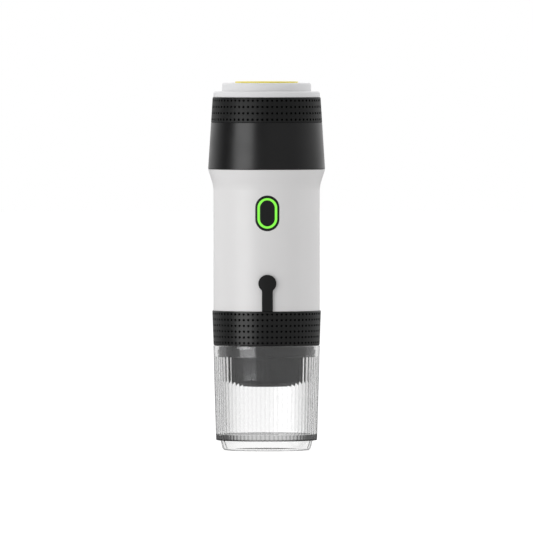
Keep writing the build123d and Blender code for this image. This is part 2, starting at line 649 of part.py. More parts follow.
with BuildPart() as power_parts:
    z_parts = (Z_PORT + Z_BUTTON) / 2
    with BuildSketch(Plane.XZ.offset(BOARD_FRONT)):
        with Locations((-SWITCH_SIZE, z_parts), (SWITCH_SIZE, z_parts)):
            Rectangle(SWITCH_SIZE, SWITCH_SIZE)
    extrude(amount=SWITCH_HEIGHT)
    with BuildSketch(Plane.XZ.offset(BOARD_FRONT)):
        with Locations((0, z_parts - PART_SPACING), (0, z_parts + PART_SPACING)):
            Rectangle(PART_LENGTH, SWITCH_SIZE)
    extrude(amount=BOARD_THICKNESS)

# Trays: discs with pockets that locate the cells, the board and the pump
with BuildPart() as lower_tray:
    with BuildSketch(Plane.XY.offset(Z_HEAD_TOP)):
        Circle(TRAY_R)
    extrude(amount=TRAY_HEIGHT)
    with BuildSketch(Plane.XY.offset(Z_TRAY)):
        with Locations(*cell_places()):
            Circle(CELL_D / 2 + POCKET_CLEARANCE)
        with Locations((0, PUMP_Y)):
            Circle(PUMP_R + POCKET_CLEARANCE)
        with Locations((0, BOARD_Y - BOARD_THICKNESS / 2)):
            Rectangle(BOARD_WIDTH + 2 * POCKET_CLEARANCE, BOARD_THICKNESS + 2 * POCKET_CLEARANCE)
    extrude(amount=TRAY_HEIGHT, mode=Mode.SUBTRACT)
    with BuildSketch(Plane.XY.offset(Z_HEAD_TOP)):
        with Locations((0, PUMP_Y)):
            Circle(TUBE_R + POCKET_CLEARANCE)
    extrude(amount=TRAY_FLOOR, mode=Mode.SUBTRACT)
    extrude(link(*list(cell_places())[:2], Z_TRAY), amount=TRAY_HEIGHT, mode=Mode.SUBTRACT)

with BuildPart() as upper_tray:
    with BuildSketch(Plane.XY.offset(Z_UPPER_TRAY + TRAY_FLOOR)):
        Circle(TRAY_R)
    extrude(amount=-TRAY_HEIGHT)
    with BuildSketch(Plane.XY.offset(Z_UPPER_TRAY)):
        with Locations(*cell_places()):
            Circle(CELL_D / 2 + POCKET_CLEARANCE)
        with Locations((0, BOARD_Y - BOARD_THICKNESS / 2)):
            Rectangle(BOARD_WIDTH + 2 * POCKET_CLEARANCE, BOARD_THICKNESS + 2 * POCKET_CLEARANCE)
    extrude(amount=-TRAY_HEIGHT, mode=Mode.SUBTRACT)
    extrude(link(*list(cell_places())[1:], Z_UPPER_TRAY), amount=-TRAY_HEIGHT, mode=Mode.SUBTRACT)
    with BuildSketch(Plane.XY.offset(Z_UPPER_TRAY + TRAY_FLOOR)):
        with Locations((TUBE_X, TUBE_Y)):
            Circle(TUBE_R + POCKET_CLEARANCE)
    extrude(amount=-TRAY_HEIGHT, mode=Mode.SUBTRACT)
    notch = 2 * POCKET_CLEARANCE
    bezel_space = stadium(BEZEL_LENGTH + notch, BEZEL_WIDTH + notch, BEZEL_BACK - POCKET_CLEARANCE)
    extrude(bezel_space, amount=OUTSIDE, mode=Mode.SUBTRACT)

# Three round lithium cells with chamfered ends, and the strips that join them
cells = {}
for number, place in enumerate(cell_places(), start=1):
    with BuildPart() as cell:
        with BuildSketch(Plane.XY.offset(Z_CELLS)):
            with Locations(place):
                Circle(CELL_D / 2)
        extrude(amount=CELL_LENGTH)
        chamfer(cell.edges().filter_by(GeomType.CIRCLE), LINK_THICKNESS)
    cells[f"cell_{number}"] = cell

with BuildPart() as cell_links:
    extrude(link(*list(cell_places())[:2], Z_TRAY), amount=LINK_THICKNESS)
    extrude(link(*list(cell_places())[1:], Z_CELLS_TOP), amount=LINK_THICKNESS)

# Pump: cushion, cover with the ports, diaphragm and drive housing, stacked under the motor
with BuildPart() as pump_cushion:
    section = ring_section(TUBE_R + POCKET_CLEARANCE, PUMP_R, Z_TRAY, Z_PUMP, PUMP_PLANE)
    revolve(section, axis=PUMP_AXIS)

tube_run = Vector(TUBE_X, TUBE_Y - PUMP_Y, 0)
tube_way = tube_run.normalized()

with BuildPart() as pump_cover:
    revolve(ring_section(0, PUMP_R, Z_PUMP, Z_DIAPHRAGM, PUMP_PLANE), axis=PUMP_AXIS)
    with BuildSketch(Plane.XY.offset(Z_PUMP)):
        with Locations((0, PUMP_Y)):
            Circle(BARB_R)
    extrude(amount=-BARB_LENGTH)
    with BuildSketch(Plane((0, PUMP_Y, Z_INLET), z_dir=tube_way)):
        Circle(BARB_R)
    extrude(amount=PUMP_R + BARB_LENGTH)
    with BuildSketch(Plane.XY.offset(Z_INLET)):
        with Locations((0, PUMP_Y)):
            Circle(BARB_BORE_R)
    extrude(amount=-OUTSIDE, mode=Mode.SUBTRACT)
    with BuildSketch(Plane((0, PUMP_Y, Z_INLET), z_dir=tube_way)):
        Circle(BARB_BORE_R)
    extrude(amount=OUTSIDE, mode=Mode.SUBTRACT)

with BuildPart() as pump_diaphragm:
    revolve(ring_section(0, PUMP_R, Z_DIAPHRAGM, Z_PUMP_BODY, PUMP_PLANE), axis=PUMP_AXIS)

with BuildPart() as pump_body:
    revolve(ring_section(PUMP_CHAMBER_R, PUMP_R, Z_PUMP_BODY, Z_MOTOR, PUMP_PLANE), axis=PUMP_AXIS)

# Tubes: tank to pump, and pump to brewing head
with BuildPart() as inlet_tube:
    with BuildLine() as route:
        pump_side = Vector(0, PUMP_Y, Z_INLET) + tube_way * PUMP_R
        FilletPolyline((TUBE_X, TUBE_Y, Z_TANK_UNDER), (TUBE_X, TUBE_Y, Z_INLET), pump_side, radius=TUBE_BEND)
    with BuildSketch(Plane.XY.offset(Z_TANK_UNDER)) as tube_ring:
        with Locations((TUBE_X, TUBE_Y)):
            Circle(TUBE_R)
            Circle(BARB_R, mode=Mode.SUBTRACT)
    sweep(tube_ring.sketch, path=route.line)

with BuildPart() as outlet_tube:
    revolve(ring_section(BARB_R, TUBE_R, Z_HEAD_TOP, Z_PUMP, PUMP_PLANE), axis=PUMP_AXIS)

# Motor: can, end cap, bushes, magnets, and the turning armature with the pump's eccentric
z_bush = Z_MOTOR_TOP - BUSH_LENGTH

with BuildPart() as motor_can:
    revolve(half_section([
        (BUSH_R, z_bush), (BUSH_R, Z_MOTOR_TOP), (PUMP_R, Z_MOTOR_TOP), (PUMP_R, Z_CAN), (CAN_BORE_R, Z_CAN),
        (CAN_BORE_R, Z_MOTOR_TOP - MOTOR_WALL), (BUSH_R + MOTOR_WALL, Z_MOTOR_TOP - MOTOR_WALL),
        (BUSH_R + MOTOR_WALL, z_bush),
    ], plane=PUMP_PLANE), axis=PUMP_AXIS)

with BuildPart() as motor_cap:
    revolve(ring_section(BUSH_R, PUMP_R, Z_MOTOR, Z_CAN, PUMP_PLANE), axis=PUMP_AXIS)

with BuildPart() as motor_bushes:
    bush_bore = SHAFT_R + BUSH_CLEARANCE
    revolve(ring_section(bush_bore, BUSH_R, Z_MOTOR, Z_CAN, PUMP_PLANE), axis=PUMP_AXIS)
    revolve(ring_section(bush_bore, BUSH_R, z_bush, Z_MOTOR_TOP, PUMP_PLANE), axis=PUMP_AXIS)

with BuildPart() as one_magnet:
    magnet = ring_section(CAN_BORE_R - MAGNET_THICKNESS, CAN_BORE_R, Z_CAN, z_bush, PUMP_PLANE)
    revolve(magnet, axis=PUMP_AXIS, revolution_arc=MAGNET_SWEEP)

with BuildPart() as motor_magnets:
    add(one_magnet.part)
    add(one_magnet.part.rotate(PUMP_AXIS, 180))

with BuildPart() as motor_rotor:
    revolve(half_section([
        (0, Z_PUMP_BODY + ARMATURE_GAP), (SHAFT_R, Z_PUMP_BODY + ARMATURE_GAP),
        (SHAFT_R, Z_CAN + ARMATURE_GAP), (ARMATURE_R, Z_CAN + ARMATURE_GAP),
        (ARMATURE_R, z_bush - ARMATURE_GAP), (SHAFT_R, z_bush - ARMATURE_GAP),
        (SHAFT_R, Z_MOTOR_TOP + SHAFT_STICKOUT), (0, Z_MOTOR_TOP + SHAFT_STICKOUT),
    ], plane=PUMP_PLANE), axis=PUMP_AXIS)

with BuildPart() as drive_cam:
    with BuildSketch(Plane.XY.offset(Z_PUMP_BODY + 2 * ARMATURE_GAP)):
        with Locations((CAM_OFFSET, PUMP_Y)):
            Circle(CAM_R)
        with Locations((0, PUMP_Y)):
            Circle(SHAFT_R, mode=Mode.SUBTRACT)
    extrude(amount=CAM_THICKNESS)

# Tank section's outer shell: tapered wall, spigot into the body, neck for the lid and a ledge inside
band_seat_r = shell_radius(Z_BAND) - BAND_THICKNESS

with BuildPart() as tank_shell:
    ledge_wall = shell_radius(Z_LEDGE - LEDGE_THICKNESS) - SHELL_WALL
    floor_wall = shell_radius(Z_SEAM + SPIGOT_WALL) - SHELL_WALL
    revolve(half_section([
        (SPIGOT_R - SPIGOT_WALL, Z_SEAM - SPIGOT_DEPTH), (SPIGOT_R, Z_SEAM - SPIGOT_DEPTH),
        (SPIGOT_R, Z_SEAM), (SHELL_R_BOTTOM, Z_SEAM), (shell_radius(Z_BAND), Z_BAND), (band_seat_r, Z_BAND),
        (SHELL_R_TOP - BAND_THICKNESS, Z_SHELL_TOP), (NECK_R, Z_SHELL_TOP), (NECK_R, Z_LEDGE),
        (LEDGE_R, Z_LEDGE), (LEDGE_R, Z_LEDGE - LEDGE_THICKNESS), (ledge_wall, Z_LEDGE - LEDGE_THICKNESS),
        (floor_wall, Z_SEAM + SPIGOT_WALL), (SPIGOT_R - SPIGOT_WALL, Z_SEAM + SPIGOT_WALL),
    ], [(SHELL_R_BOTTOM, Z_SEAM, LIP_ROUND)]), axis=Axis.Z)

with BuildPart() as grip_band:
    revolve(half_section([
        (band_seat_r, Z_BAND), (shell_radius(Z_BAND), Z_BAND), (SHELL_R_TOP, Z_SHELL_TOP),
        (SHELL_R_TOP - BAND_THICKNESS, Z_SHELL_TOP),
    ], [(SHELL_R_TOP, Z_SHELL_TOP, GRIP_ROUND)]), axis=Axis.Z)
    add(pits(BAND_ROWS, Z_BAND, Z_SHELL_TOP, shell_radius), mode=Mode.SUBTRACT)

# Steel tank hung by its flange on the shell's ledge, with the spout of the inlet tube
with BuildPart() as water_tank:
    revolve(half_section([
        (0, Z_TANK_UNDER), (TANK_R + TANK_WALL, Z_TANK_UNDER), (TANK_R + TANK_WALL, Z_LEDGE),
        (LID_SKIRT_R, Z_LEDGE), (LID_SKIRT_R, Z_TANK_RIM), (TANK_R, Z_TANK_RIM), (TANK_R, Z_TANK_FLOOR),
        (0, Z_TANK_FLOOR),
    ], [
        (TANK_R, Z_TANK_FLOOR, TANK_CORNER),
        (TANK_R + TANK_WALL, Z_TANK_UNDER, TANK_CORNER + TANK_WALL),
    ]), axis=Axis.Z)
    with BuildSketch(Plane.XY.offset(Z_TANK_UNDER)):
        with Locations((TUBE_X, TUBE_Y)):
            Circle(BARB_R)
    extrude(amount=-2 * BARB_LENGTH)
    with BuildSketch(Plane.XY.offset(Z_TANK_FLOOR)):
        with Locations((TUBE_X, TUBE_Y)):
            Circle(BARB_BORE_R)
        with Locations((PROBE_X, PROBE_Y)):
            Circle(PROBE_R)
    extrude(amount=-OUTSIDE, mode=Mode.SUBTRACT)

with BuildPart() as inlet_filter:
    with BuildSketch(Plane.XY.offset(Z_TANK_FLOOR)):
        with Locations((TUBE_X, TUBE_Y)):
            Circle(FILTER_R)
            Circle(BARB_BORE_R, mode=Mode.SUBTRACT)
    extrude(amount=FILTER_HEIGHT)

# Heater plate and element, thermostat and temperature probe under the tank's floor
with BuildPart() as heater_plate:
    revolve(ring_section(0, HEATER_R, Z_HEATER, Z_TANK_UNDER), axis=Axis.Z)

with BuildPart() as heater_element:
    with BuildSketch(Plane.XZ) as element_section:
        with Locations((ELEMENT_RING_R, Z_HEATER)):
            Circle(ELEMENT_R)
            Rectangle(2 * ELEMENT_R, ELEMENT_R, align=(Align.CENTER, Align.MIN), mode=Mode.SUBTRACT)
    revolve(axis=Axis.Z, revolution_arc=ELEMENT_SWEEP)

with BuildPart() as thermostat:
    revolve(ring_section(0, THERMOSTAT_R, Z_HEATER - THERMOSTAT_HEIGHT, Z_HEATER), axis=Axis.Z)

with BuildPart() as temperature_probe:
    with BuildSketch(Plane.XY.offset(Z_TANK_FLOOR + PROBE_DEPTH)):
        with Locations((PROBE_X, PROBE_Y)):
            Circle(PROBE_R)
    extrude(amount=-PROBE_LENGTH)

# Lid: a stepped cap with a plug skirt for the neck, its seal, and the domed inlay in its top
with BuildPart() as tank_lid:
    revolve(half_section([
        (0, Z_RECESS), (INLAY_R, Z_RECESS), (INLAY_R, Z_LID_TOP), (LID_STEP_R, Z_LID_TOP),
        (LID_STEP_R, Z_LID_STEP), (LID_RIM_R, Z_LID_STEP), (LID_RIM_R, Z_SHELL_TOP),
        (LID_SKIRT_R, Z_SHELL_TOP), (LID_SKIRT_R, Z_SEAL), (LID_SKIRT_R - LID_WALL, Z_SEAL),
        (LID_SKIRT_R - LID_WALL, Z_LID_STEP - LID_WALL), (LID_STEP_R - LID_WALL, Z_LID_STEP - LID_WALL),
        (LID_STEP_R - LID_WALL, Z_RECESS - LID_WALL / 2), (0, Z_RECESS - LID_WALL / 2),
    ], [(LID_STEP_R, Z_LID_TOP, LID_ROUND), (LID_RIM_R, Z_LID_STEP, LID_ROUND)]), axis=Axis.Z)

with BuildPart() as lid_seal:
    revolve(ring_section(LID_SKIRT_R - LID_WALL, LID_SKIRT_R, Z_TANK_RIM, Z_SEAL), axis=Axis.Z)

with BuildPart() as lid_inlay:
    with BuildSketch(Plane.XZ):
        with BuildLine():
            crown = (0, Z_LID_TOP + INLAY_RISE)
            rim = (INLAY_R, Z_LID_TOP + INLAY_EDGE)
            Polyline(crown, (0, Z_RECESS), (INLAY_R, Z_RECESS), rim)
            TangentArc(crown, rim, tangent=(1, 0))
        make_face()
    revolve(axis=Axis.Z)

pieces = {
    "cup": cup,
    "outlet": outlet,
    "crema_nozzle": crema_nozzle,
    "filter_basket": filter_basket,
    "brew_head": brew_head,
    "head_gasket": head_gasket,
    "shower_screen": shower_screen,
    "shower_screw": shower_screw,
    "main_body": main_body,
    "body_screws": body_screws,
    "grip_ring": grip_ring,
    "port_plug": port_plug,
    "dc_socket": dc_socket,
    "button_bezel": button_bezel,
    "light_ring": light_ring,
    "power_button": power_button,
    "switch_plunger": switch_plunger,
    "control_board": control_board,
    "tact_switch": tact_switch,
    "status_leds": status_leds,
    "power_parts": power_parts,
    "lower_tray": lower_tray,
    "upper_tray": upper_tray,
    "cell_links": cell_links,
    "pump_cushion": pump_cushion,
    "pump_cover": pump_cover,
    "pump_diaphragm": pump_diaphragm,
    "pump_body": pump_body,
    "inlet_tube": inlet_tube,
    "outlet_tube": outlet_tube,
    "motor_can": motor_can,
    "motor_cap": motor_cap,
    "motor_bushes": motor_bushes,
    "motor_magnets": motor_magnets,
    "motor_rotor": motor_rotor,
    "drive_cam": drive_cam,
    "tank_shell": tank_shell,
    "grip_band": grip_band,
    "water_tank": water_tank,
    "inlet_filter": inlet_filter,
    "heater_plate": heater_plate,
    "heater_element": heater_element,
    "thermostat": thermostat,
    "temperature_probe": temperature_probe,
    "tank_lid": tank_lid,
    "lid_seal": lid_seal,
    "lid_inlay": lid_inlay,
    **cells,
}

os.makedirs("parts", exist_ok=True)
for label, piece in pieces.items():
    piece.part.label = label
    export_step(piece.part, f"parts/{label}.step")
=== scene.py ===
import math

import bmesh
import bpy
from bpy.props import FloatProperty, FloatVectorProperty, IntProperty, PointerProperty
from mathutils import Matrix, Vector


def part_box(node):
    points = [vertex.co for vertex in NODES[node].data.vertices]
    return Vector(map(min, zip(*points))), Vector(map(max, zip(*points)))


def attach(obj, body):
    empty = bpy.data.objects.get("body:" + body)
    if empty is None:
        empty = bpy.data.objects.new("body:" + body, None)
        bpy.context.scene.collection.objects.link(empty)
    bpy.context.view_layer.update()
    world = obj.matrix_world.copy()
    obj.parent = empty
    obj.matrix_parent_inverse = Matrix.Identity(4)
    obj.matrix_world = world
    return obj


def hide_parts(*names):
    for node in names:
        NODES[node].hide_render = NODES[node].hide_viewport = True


bl_info = {
    "name": "Portable espresso maker",
    "version": (1, 0, 0),
    "blender": (4, 5, 0),
    "location": "3D View > Sidebar > Espresso",
    "description": "Dresses the packed parts of a portable espresso maker for a studio picture",
    "category": "Object",
}

# The packed parts, in metres. +Z is up and the front faces -Y.
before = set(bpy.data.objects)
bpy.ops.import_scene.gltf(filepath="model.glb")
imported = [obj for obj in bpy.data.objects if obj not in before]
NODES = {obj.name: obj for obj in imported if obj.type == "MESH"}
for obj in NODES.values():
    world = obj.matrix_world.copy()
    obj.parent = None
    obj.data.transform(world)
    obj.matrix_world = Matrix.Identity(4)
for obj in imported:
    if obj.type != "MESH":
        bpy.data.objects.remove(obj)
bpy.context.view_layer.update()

MM = 0.001
QUARTER_TURN = math.pi / 2
HALF_TURN = math.pi
FULL_TURN = 2 * math.pi

# Heights that the packed parts give
CUP_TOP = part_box("cup")[1].z
RING_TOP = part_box("grip_ring")[1].z
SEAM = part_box("main_body")[1].z
SHELL_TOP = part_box("grip_band")[1].z
BAND_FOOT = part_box("grip_band")[0].z
LID_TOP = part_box("tank_lid")[1].z

# Heights between which the cup's floor lies behind its wall
CLEAR_SLAB = (6.1 * MM, 9.7 * MM)


def light_of(code):
    """The linear light of an sRGB colour written as six hex digits."""
    def straight(value):
        return value / 12.92 if value <= 0.04045 else ((value + 0.055) / 1.055) ** 2.4
    return tuple(straight(int(code[i:i + 2], 16) / 255) for i in (0, 2, 4))


def length(name, description, millimetres):
    """A size that the user may change."""
    return FloatProperty(
        name=name, description=description, default=millimetres * MM, min=0.0, unit="LENGTH", precision=5)


def tone(name, description, code):
    """A colour that the user may change."""
    return FloatVectorProperty(
        name=name, description=description, default=light_of(code), min=0.0, max=1.0, subtype="COLOR")


class CupSizes(bpy.types.PropertyGroup):
    """Sizes of the clear cup."""
    reeds: IntProperty(name="Reeds", description="Convex reeds round the wall", default=72, min=12)
    reed_depth: length("Reed depth", "Height of a reed's crest over the valleys beside it", 0.15)
    foot_height: length("Foot height", "Height of the smooth foot", 6.0)
    foot_bottom: length("Foot radius", "Radius of the foot at the table", 26.8)
    foot_top: length("Foot top radius", "Radius of the foot where the reeded wall starts", 28.3)
    wall_bottom: length("Wall foot radius", "Radius of the reeded wall at its foot", 30.95)
    corner: length("Corner", "Chamfer under the reeds", 0.3)
    wall: length("Wall", "Thickness of the wall", 2.2)
    floor: length("Floor", "Thickness of the floor over the foot", 3.6)
    floor_round: length("Floor round", "Round inside, where the wall meets the floor", 0.3)
    band: length("Plain band", "Height of the plain band over the reeds", 7.2)
    rim: length("Rim radius", "Radius of the cup's rim", 32.6)
    rim_round: length("Rim round", "Round on the outer edge of the rim", 0.6)


class GripSizes(bpy.types.PropertyGroup):
    """Sizes of the dotted grip ring and grip band."""
    columns: IntProperty(name="Columns", description="Dots in a row round the maker", default=70, min=12)
    ring_rows: IntProperty(name="Ring rows", description="Rows of dots in the grip ring", default=6, min=1)
    band_rows: IntProperty(name="Band rows", description="Rows of dots in the grip band", default=4, min=1)
    dot: length("Dot", "Diameter of a dot", 1.45)
    depth: length("Depth", "Depth of a dot", 0.6)
    edge: length("Edge", "Round on the long edges", 0.4)
    ring_bottom: length("Ring foot radius", "Outside radius of the ring at its foot", 32.55)
    ring_top: length("Ring top radius", "Outside radius of the ring at its top", 33.3)
    ring_bore: length("Ring bore", "Inside radius of the ring", 31.8)
    band_top: length("Band top radius", "Outside radius of the band at its top", 33.1)
    band_thickness: length("Band thickness", "Thickness of the band", 1.0)


class HousingSizes(bpy.types.PropertyGroup):
    """Sizes of the white body and the black tank section."""
    body: length("Body radius", "Outside radius of the white body", 32.6)
    wall: length("Wall", "Thickness of the body's wall", 2.2)
    flare: length("Flare", "Height of the body's flare under the tank section", 10.4)
    shell: length("Shell radius", "Outside radius of the tank section at its foot", 35.9)
    shell_top: length("Shell top radius", "Outside radius of the tank section at its top", 33.1)
    lip: length("Lip round", "Round on the two edges that meet at the seam", 0.5)


class LidSizes(bpy.types.PropertyGroup):
    """Sizes of the lid."""
    rim: length("Rim radius", "Radius of the lid's rim", 32.6)
    rim_height: length("Rim height", "Height of the lid's rim", 3.6)
    step: length("Step radius", "Radius of the lid's upper step", 27.3)
    edge: length("Edge", "Round on the lid's edges", 1.3)
    inlay: length("Inlay radius", "Radius of the yellow inlay", 19.3)
    inlay_rise: length("Inlay rise", "Height of the inlay's crown over the lid", 1.1)
    inlay_edge: length("Inlay edge", "Height of the inlay's rim over the lid", 0.9)


class FrontSizes(bpy.types.PropertyGroup):
    """Sizes of the button and the charging plug."""
    button_height: length("Button height", "Height of the button's centre over the table", 145.5)
    bezel_length: length("Bezel length", "Length of the button's surround", 21.8)
    bezel_width: length("Bezel width", "Width of the button's surround", 14.8)
    light_length: length("Light length", "Length of the light ring", 18.6)
    light_width: length("Light width", "Width of the light ring", 12.2)
    light_band: length("Light band", "Width of the light ring's glowing band", 1.3)
    plug_height: length("Plug height", "Height of the charging port over the table", 102.7)
    plug: length("Plug radius", "Radius of the plug's head", 5.3)
    strap: length("Strap width", "Width of the plug's strap", 6.4)
    neck: length("Neck round", "Hollow round at each side where the strap meets the head", 1.4)


class Finishes(bpy.types.PropertyGroup):
    """Colours of the finishes."""
    clear: tone("Clear plastic", "Tint of the clear cup", "FFFFFF")
    body: tone("White body", "Moulded plastic of the body", "E2E1E1")
    lid: tone("White lid", "Moulded plastic of the lid", "DFDFE0")
    shell: tone("Black shell", "Moulded plastic of the tank section", "0D0D0E")
    silicone: tone("Black silicone", "Rubber of the grip ring, the grip band and the plug", "0B0C0C")
    outlet: tone("Outlet", "Mirror-gloss plastic of the outlet under the brewing head", "727374")
    inlay: tone("Yellow inlay", "Plastic of the lid's inlay", "F3E462")
    button: tone("Button", "Plastic of the button and its surround", "101212")
    glow: tone("Light ring", "Light of the ring round the button", "8CFE51")


SIZE_GROUPS = {
    "espresso_cup": CupSizes,
    "espresso_grips": GripSizes,
    "espresso_housing": HousingSizes,
    "espresso_lid": LidSizes,
    "espresso_front": FrontSizes,
    "espresso_finishes": Finishes,
}


# Modelling helpers

def add_primitive(add, name, place=(0, 0, 0), turn=(0, 0, 0), **settings):
    """Adds a primitive with nothing else selected, gives it its name and opens it for editing."""
    if bpy.context.mode != "OBJECT":
        bpy.ops.object.mode_set(mode="OBJECT")
    bpy.ops.object.select_all(action="DESELECT")
    add(location=place, rotation=turn, **settings)
    made = bpy.context.active_object
    made.name = name
    made.data.name = name
    bpy.ops.object.transform_apply(location=True, rotation=True, scale=True)
    bpy.ops.object.mode_set(mode="EDIT")
    bpy.ops.mesh.select_mode(type="VERT")
    return made


def pick(test, kind="VERT"):
    """Selects the vertices, edges or faces that pass a test, and nothing else."""
    bpy.ops.mesh.select_mode(type=kind)
    bpy.ops.mesh.select_all(action="DESELECT")
    mesh = bmesh.from_edit_mesh(bpy.context.edit_object.data)
    parts = {"VERT": mesh.verts, "EDGE": mesh.edges, "FACE": mesh.faces}[kind]
    chosen = [part for part in parts if test(part)]
    for part in chosen:
        part.select_set(True)
    mesh.select_flush_mode()
    bmesh.update_edit_mesh(bpy.context.edit_object.data)
    return len(chosen)


def select_only(made):
    """Leaves edit mode and makes a piece the only one that is selected."""
    bpy.ops.object.mode_set(mode="OBJECT")
    bpy.ops.object.select_all(action="DESELECT")
    made.select_set(True)
    bpy.context.view_layer.objects.active = made


def select_whole(kind=None):
    """Selects the whole piece that is open for editing, after a change of select mode if one is given."""
    if kind:
        bpy.ops.mesh.select_mode(type=kind)
    bpy.ops.mesh.select_all(action="SELECT")


def face_outward():
    """Selects the whole piece that is open for editing and turns its faces outward."""
    select_whole()
    bpy.ops.mesh.normals_make_consistent(inside=False)


def draw_along_y(depth):
    """Draws the selected faces out along Y."""
    bpy.ops.mesh.extrude_region_move(TRANSFORM_OT_translate={"value": (0, depth, 0)})


def round_edges(size, segments):
    """Rounds the selected edges as far as the piece has room."""
    bpy.ops.mesh.bevel(offset=size, segments=segments, affect="EDGES", clamp_overlap=True)


def radius_of(point):
    """Distance of a point from the maker's axis."""
    return math.hypot(point.x, point.y)


def near(first, second, reach=0.01 * MM):
    """Whether two lengths are the same to a hundredth of a millimetre."""
    return abs(first - second) < reach


def on_loop(edge, radius, height):
    """Whether an edge is part of the level loop at a radius and a height."""
    return all(near(radius_of(v.co), radius) and near(v.co.z, height) for v in edge.verts)


def grow_to(old, new):
    """Draws the selected loop out or up, from one (radius, height) to the next."""
    bpy.ops.mesh.extrude_edges_move(TRANSFORM_OT_translate={"value": (0, 0, new[1] - old[1])})
    share = new[0] / old[0]
    bpy.ops.transform.resize(value=(share, share, 1), center_override=(0, 0, new[1]))


def close_pole(old, height):
    """Draws the selected loop in to the axis and welds it to one point."""
    bpy.ops.mesh.extrude_edges_move(TRANSFORM_OT_translate={"value": (0, 0, height - old[1])})
    bpy.ops.mesh.merge(type="CENTER")


def turn_outline(name, outline, steps=180):
    """Turns a closed outline of (radius, height) points: a circle is drawn up from each point to the next.
    An outline that starts and ends on the axis is closed there, and any other comes back to its start."""
    to_axis = outline[0][0] == 0
    ring = outline[1:-1] if to_axis else outline
    made = add_primitive(
        bpy.ops.mesh.primitive_circle_add, name, place=(0, 0, ring[0][1]), radius=ring[0][0], vertices=steps)
    select_whole("EDGE")
    for old, new in zip(ring, ring[1:]):
        grow_to(old, new)
    if to_axis:
        close_pole(ring[-1], outline[-1][1])
        pick(lambda edge: edge.is_boundary, "EDGE")
        close_pole(ring[0], outline[0][1])
    else:
        grow_to(ring[-1], ring[0])
        select_whole()
        bpy.ops.mesh.remove_doubles(threshold=0.002 * MM)
    face_outward()
    return made


def soften(loops, segments=4):
    """Rounds level loops, each given as its radius, its height and the round's size."""
    for radius, height, size in loops:
        if not pick(lambda edge: on_loop(edge, radius, height), "EDGE"):
            raise RuntimeError(f"no edge lies at radius {radius:.5f} and height {height:.5f}")
        bpy.ops.mesh.bevel(offset=size, segments=segments, profile=0.5, affect="EDGES", clamp_overlap=False)


def apply_modifier(made, kind, **settings):
    """Adds one modifier and applies it."""
    modifier = made.modifiers.new(kind.title(), kind)
    for setting, value in settings.items():
        setattr(modifier, setting, value)
    select_only(made)
    bpy.ops.object.modifier_apply(modifier=modifier.name)


def finish_piece(made, body, finish, part, angle=30):
    """Smooths a piece, gives it its finish, and seats it on its body in place of its packed part."""
    select_only(made)
    bpy.ops.object.shade_smooth_by_angle(angle=math.radians(angle))
    apply_modifier(made, "WEIGHTED_NORMAL", keep_sharp=True)
    made.data.materials.clear()
    made.data.materials.append(FINISHES[finish])
    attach(made, body)
    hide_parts(part)


def combine(made, other, operation):
    """Cuts another piece out of a piece, or welds it on, and removes the other one."""
    apply_modifier(made, "BOOLEAN", operation=operation, object=other, solver="EXACT")
    bpy.data.objects.remove(other)


# Finishes

def add_node(tree, kind, inputs=None, **settings):
    """Adds one node: its settings, then its inputs, each a socket to link or a value to set."""
    made = tree.nodes.new(kind)
    for setting, value in settings.items():
        setattr(made, setting, value)
    for socket, value in (inputs or {}).items():
        if isinstance(value, bpy.types.NodeSocket):
            tree.links.new(value, made.inputs[socket])
        else:
            made.inputs[socket].default_value = value
    return made


def mapped(tree, value, low, high, start=0.0, end=1.0, **settings):
    """A value carried over from the range low to high to the range start to end."""
    return add_node(tree, "ShaderNodeMapRange", {
        "Value": value, "From Min": low, "From Max": high, "To Min": start, "To Max": end,
    }, **settings).outputs["Result"]


def reckoned(tree, operation, first, second):
    """The result of one sum or test of two values."""
    return add_node(tree, "ShaderNodeMath", {0: first, 1: second}, operation=operation).outputs[0]


def blended(tree, share, first, second):
    """A value that goes from the first to the second as a share goes from 0 to 1."""
    return add_node(tree, "ShaderNodeMix", {"Factor": share, "A": first, "B": second}).outputs[0]


def mixed_colour(tree, share, first, second):
    """A colour that goes from the first to the second, each a socket or a fixed colour, as a share does."""
    mix = add_node(tree, "ShaderNodeMix", {"Factor": share}, data_type="RGBA")
    for colour, socket in ((first, mix.inputs[6]), (second, mix.inputs[7])):
        if isinstance(colour, bpy.types.NodeSocket):
            tree.links.new(colour, socket)
        else:
            socket.default_value = (*colour, 1)
    return mix.outputs[2]


def dimmed(colour, share):
    """A colour with its light turned down."""
    return tuple(channel * share for channel in colour)


def ray_tests(tree):
    """Whether a ray was mirrored, was scattered, passed a clear skin, and passed three or more of them."""
    depths = add_node(tree, "ShaderNodeLightPath").outputs
    tests = (("Glossy", 0.5), ("Diffuse", 0.5), ("Transmission", 0.5), ("Transmission", 2.5))
    return [reckoned(tree, "GREATER_THAN", depths[f"{kind} Depth"], least) for kind, least in tests]


def object_place(tree):
    """The object's own coordinates."""
    return add_node(tree, "ShaderNodeTexCoord").outputs["Object"]


def object_noise(tree, size_mm, stretch=(1, 1, 1), detail=2.0):
    """Noise over the object's own coordinates whose grains are about size_mm across."""
    place = object_place(tree)
    if stretch != (1, 1, 1):
        place = add_node(tree, "ShaderNodeMapping", {"Vector": place, "Scale": stretch}).outputs["Vector"]
    return add_node(tree, "ShaderNodeTexNoise", {
        "Vector": place, "Scale": 0.6 / (size_mm * MM), "Detail": detail, "Roughness": 0.55,
    }).outputs["Fac"]


def new_finish(name, **constants):
    """An empty finish with its shader and output; constants are set on the shader's own sockets."""
    material = bpy.data.materials.new(name)
    material.use_nodes = True
    tree = material.node_tree
    tree.nodes.clear()
    shader = add_node(tree, "ShaderNodeBsdfPrincipled", name="Shader")
    for socket, value in constants.items():
        shader.inputs[socket.replace("_", " ")].default_value = value
    add_node(tree, "ShaderNodeOutputMaterial", {"Surface": shader.outputs["BSDF"]})
    return material, tree, shader


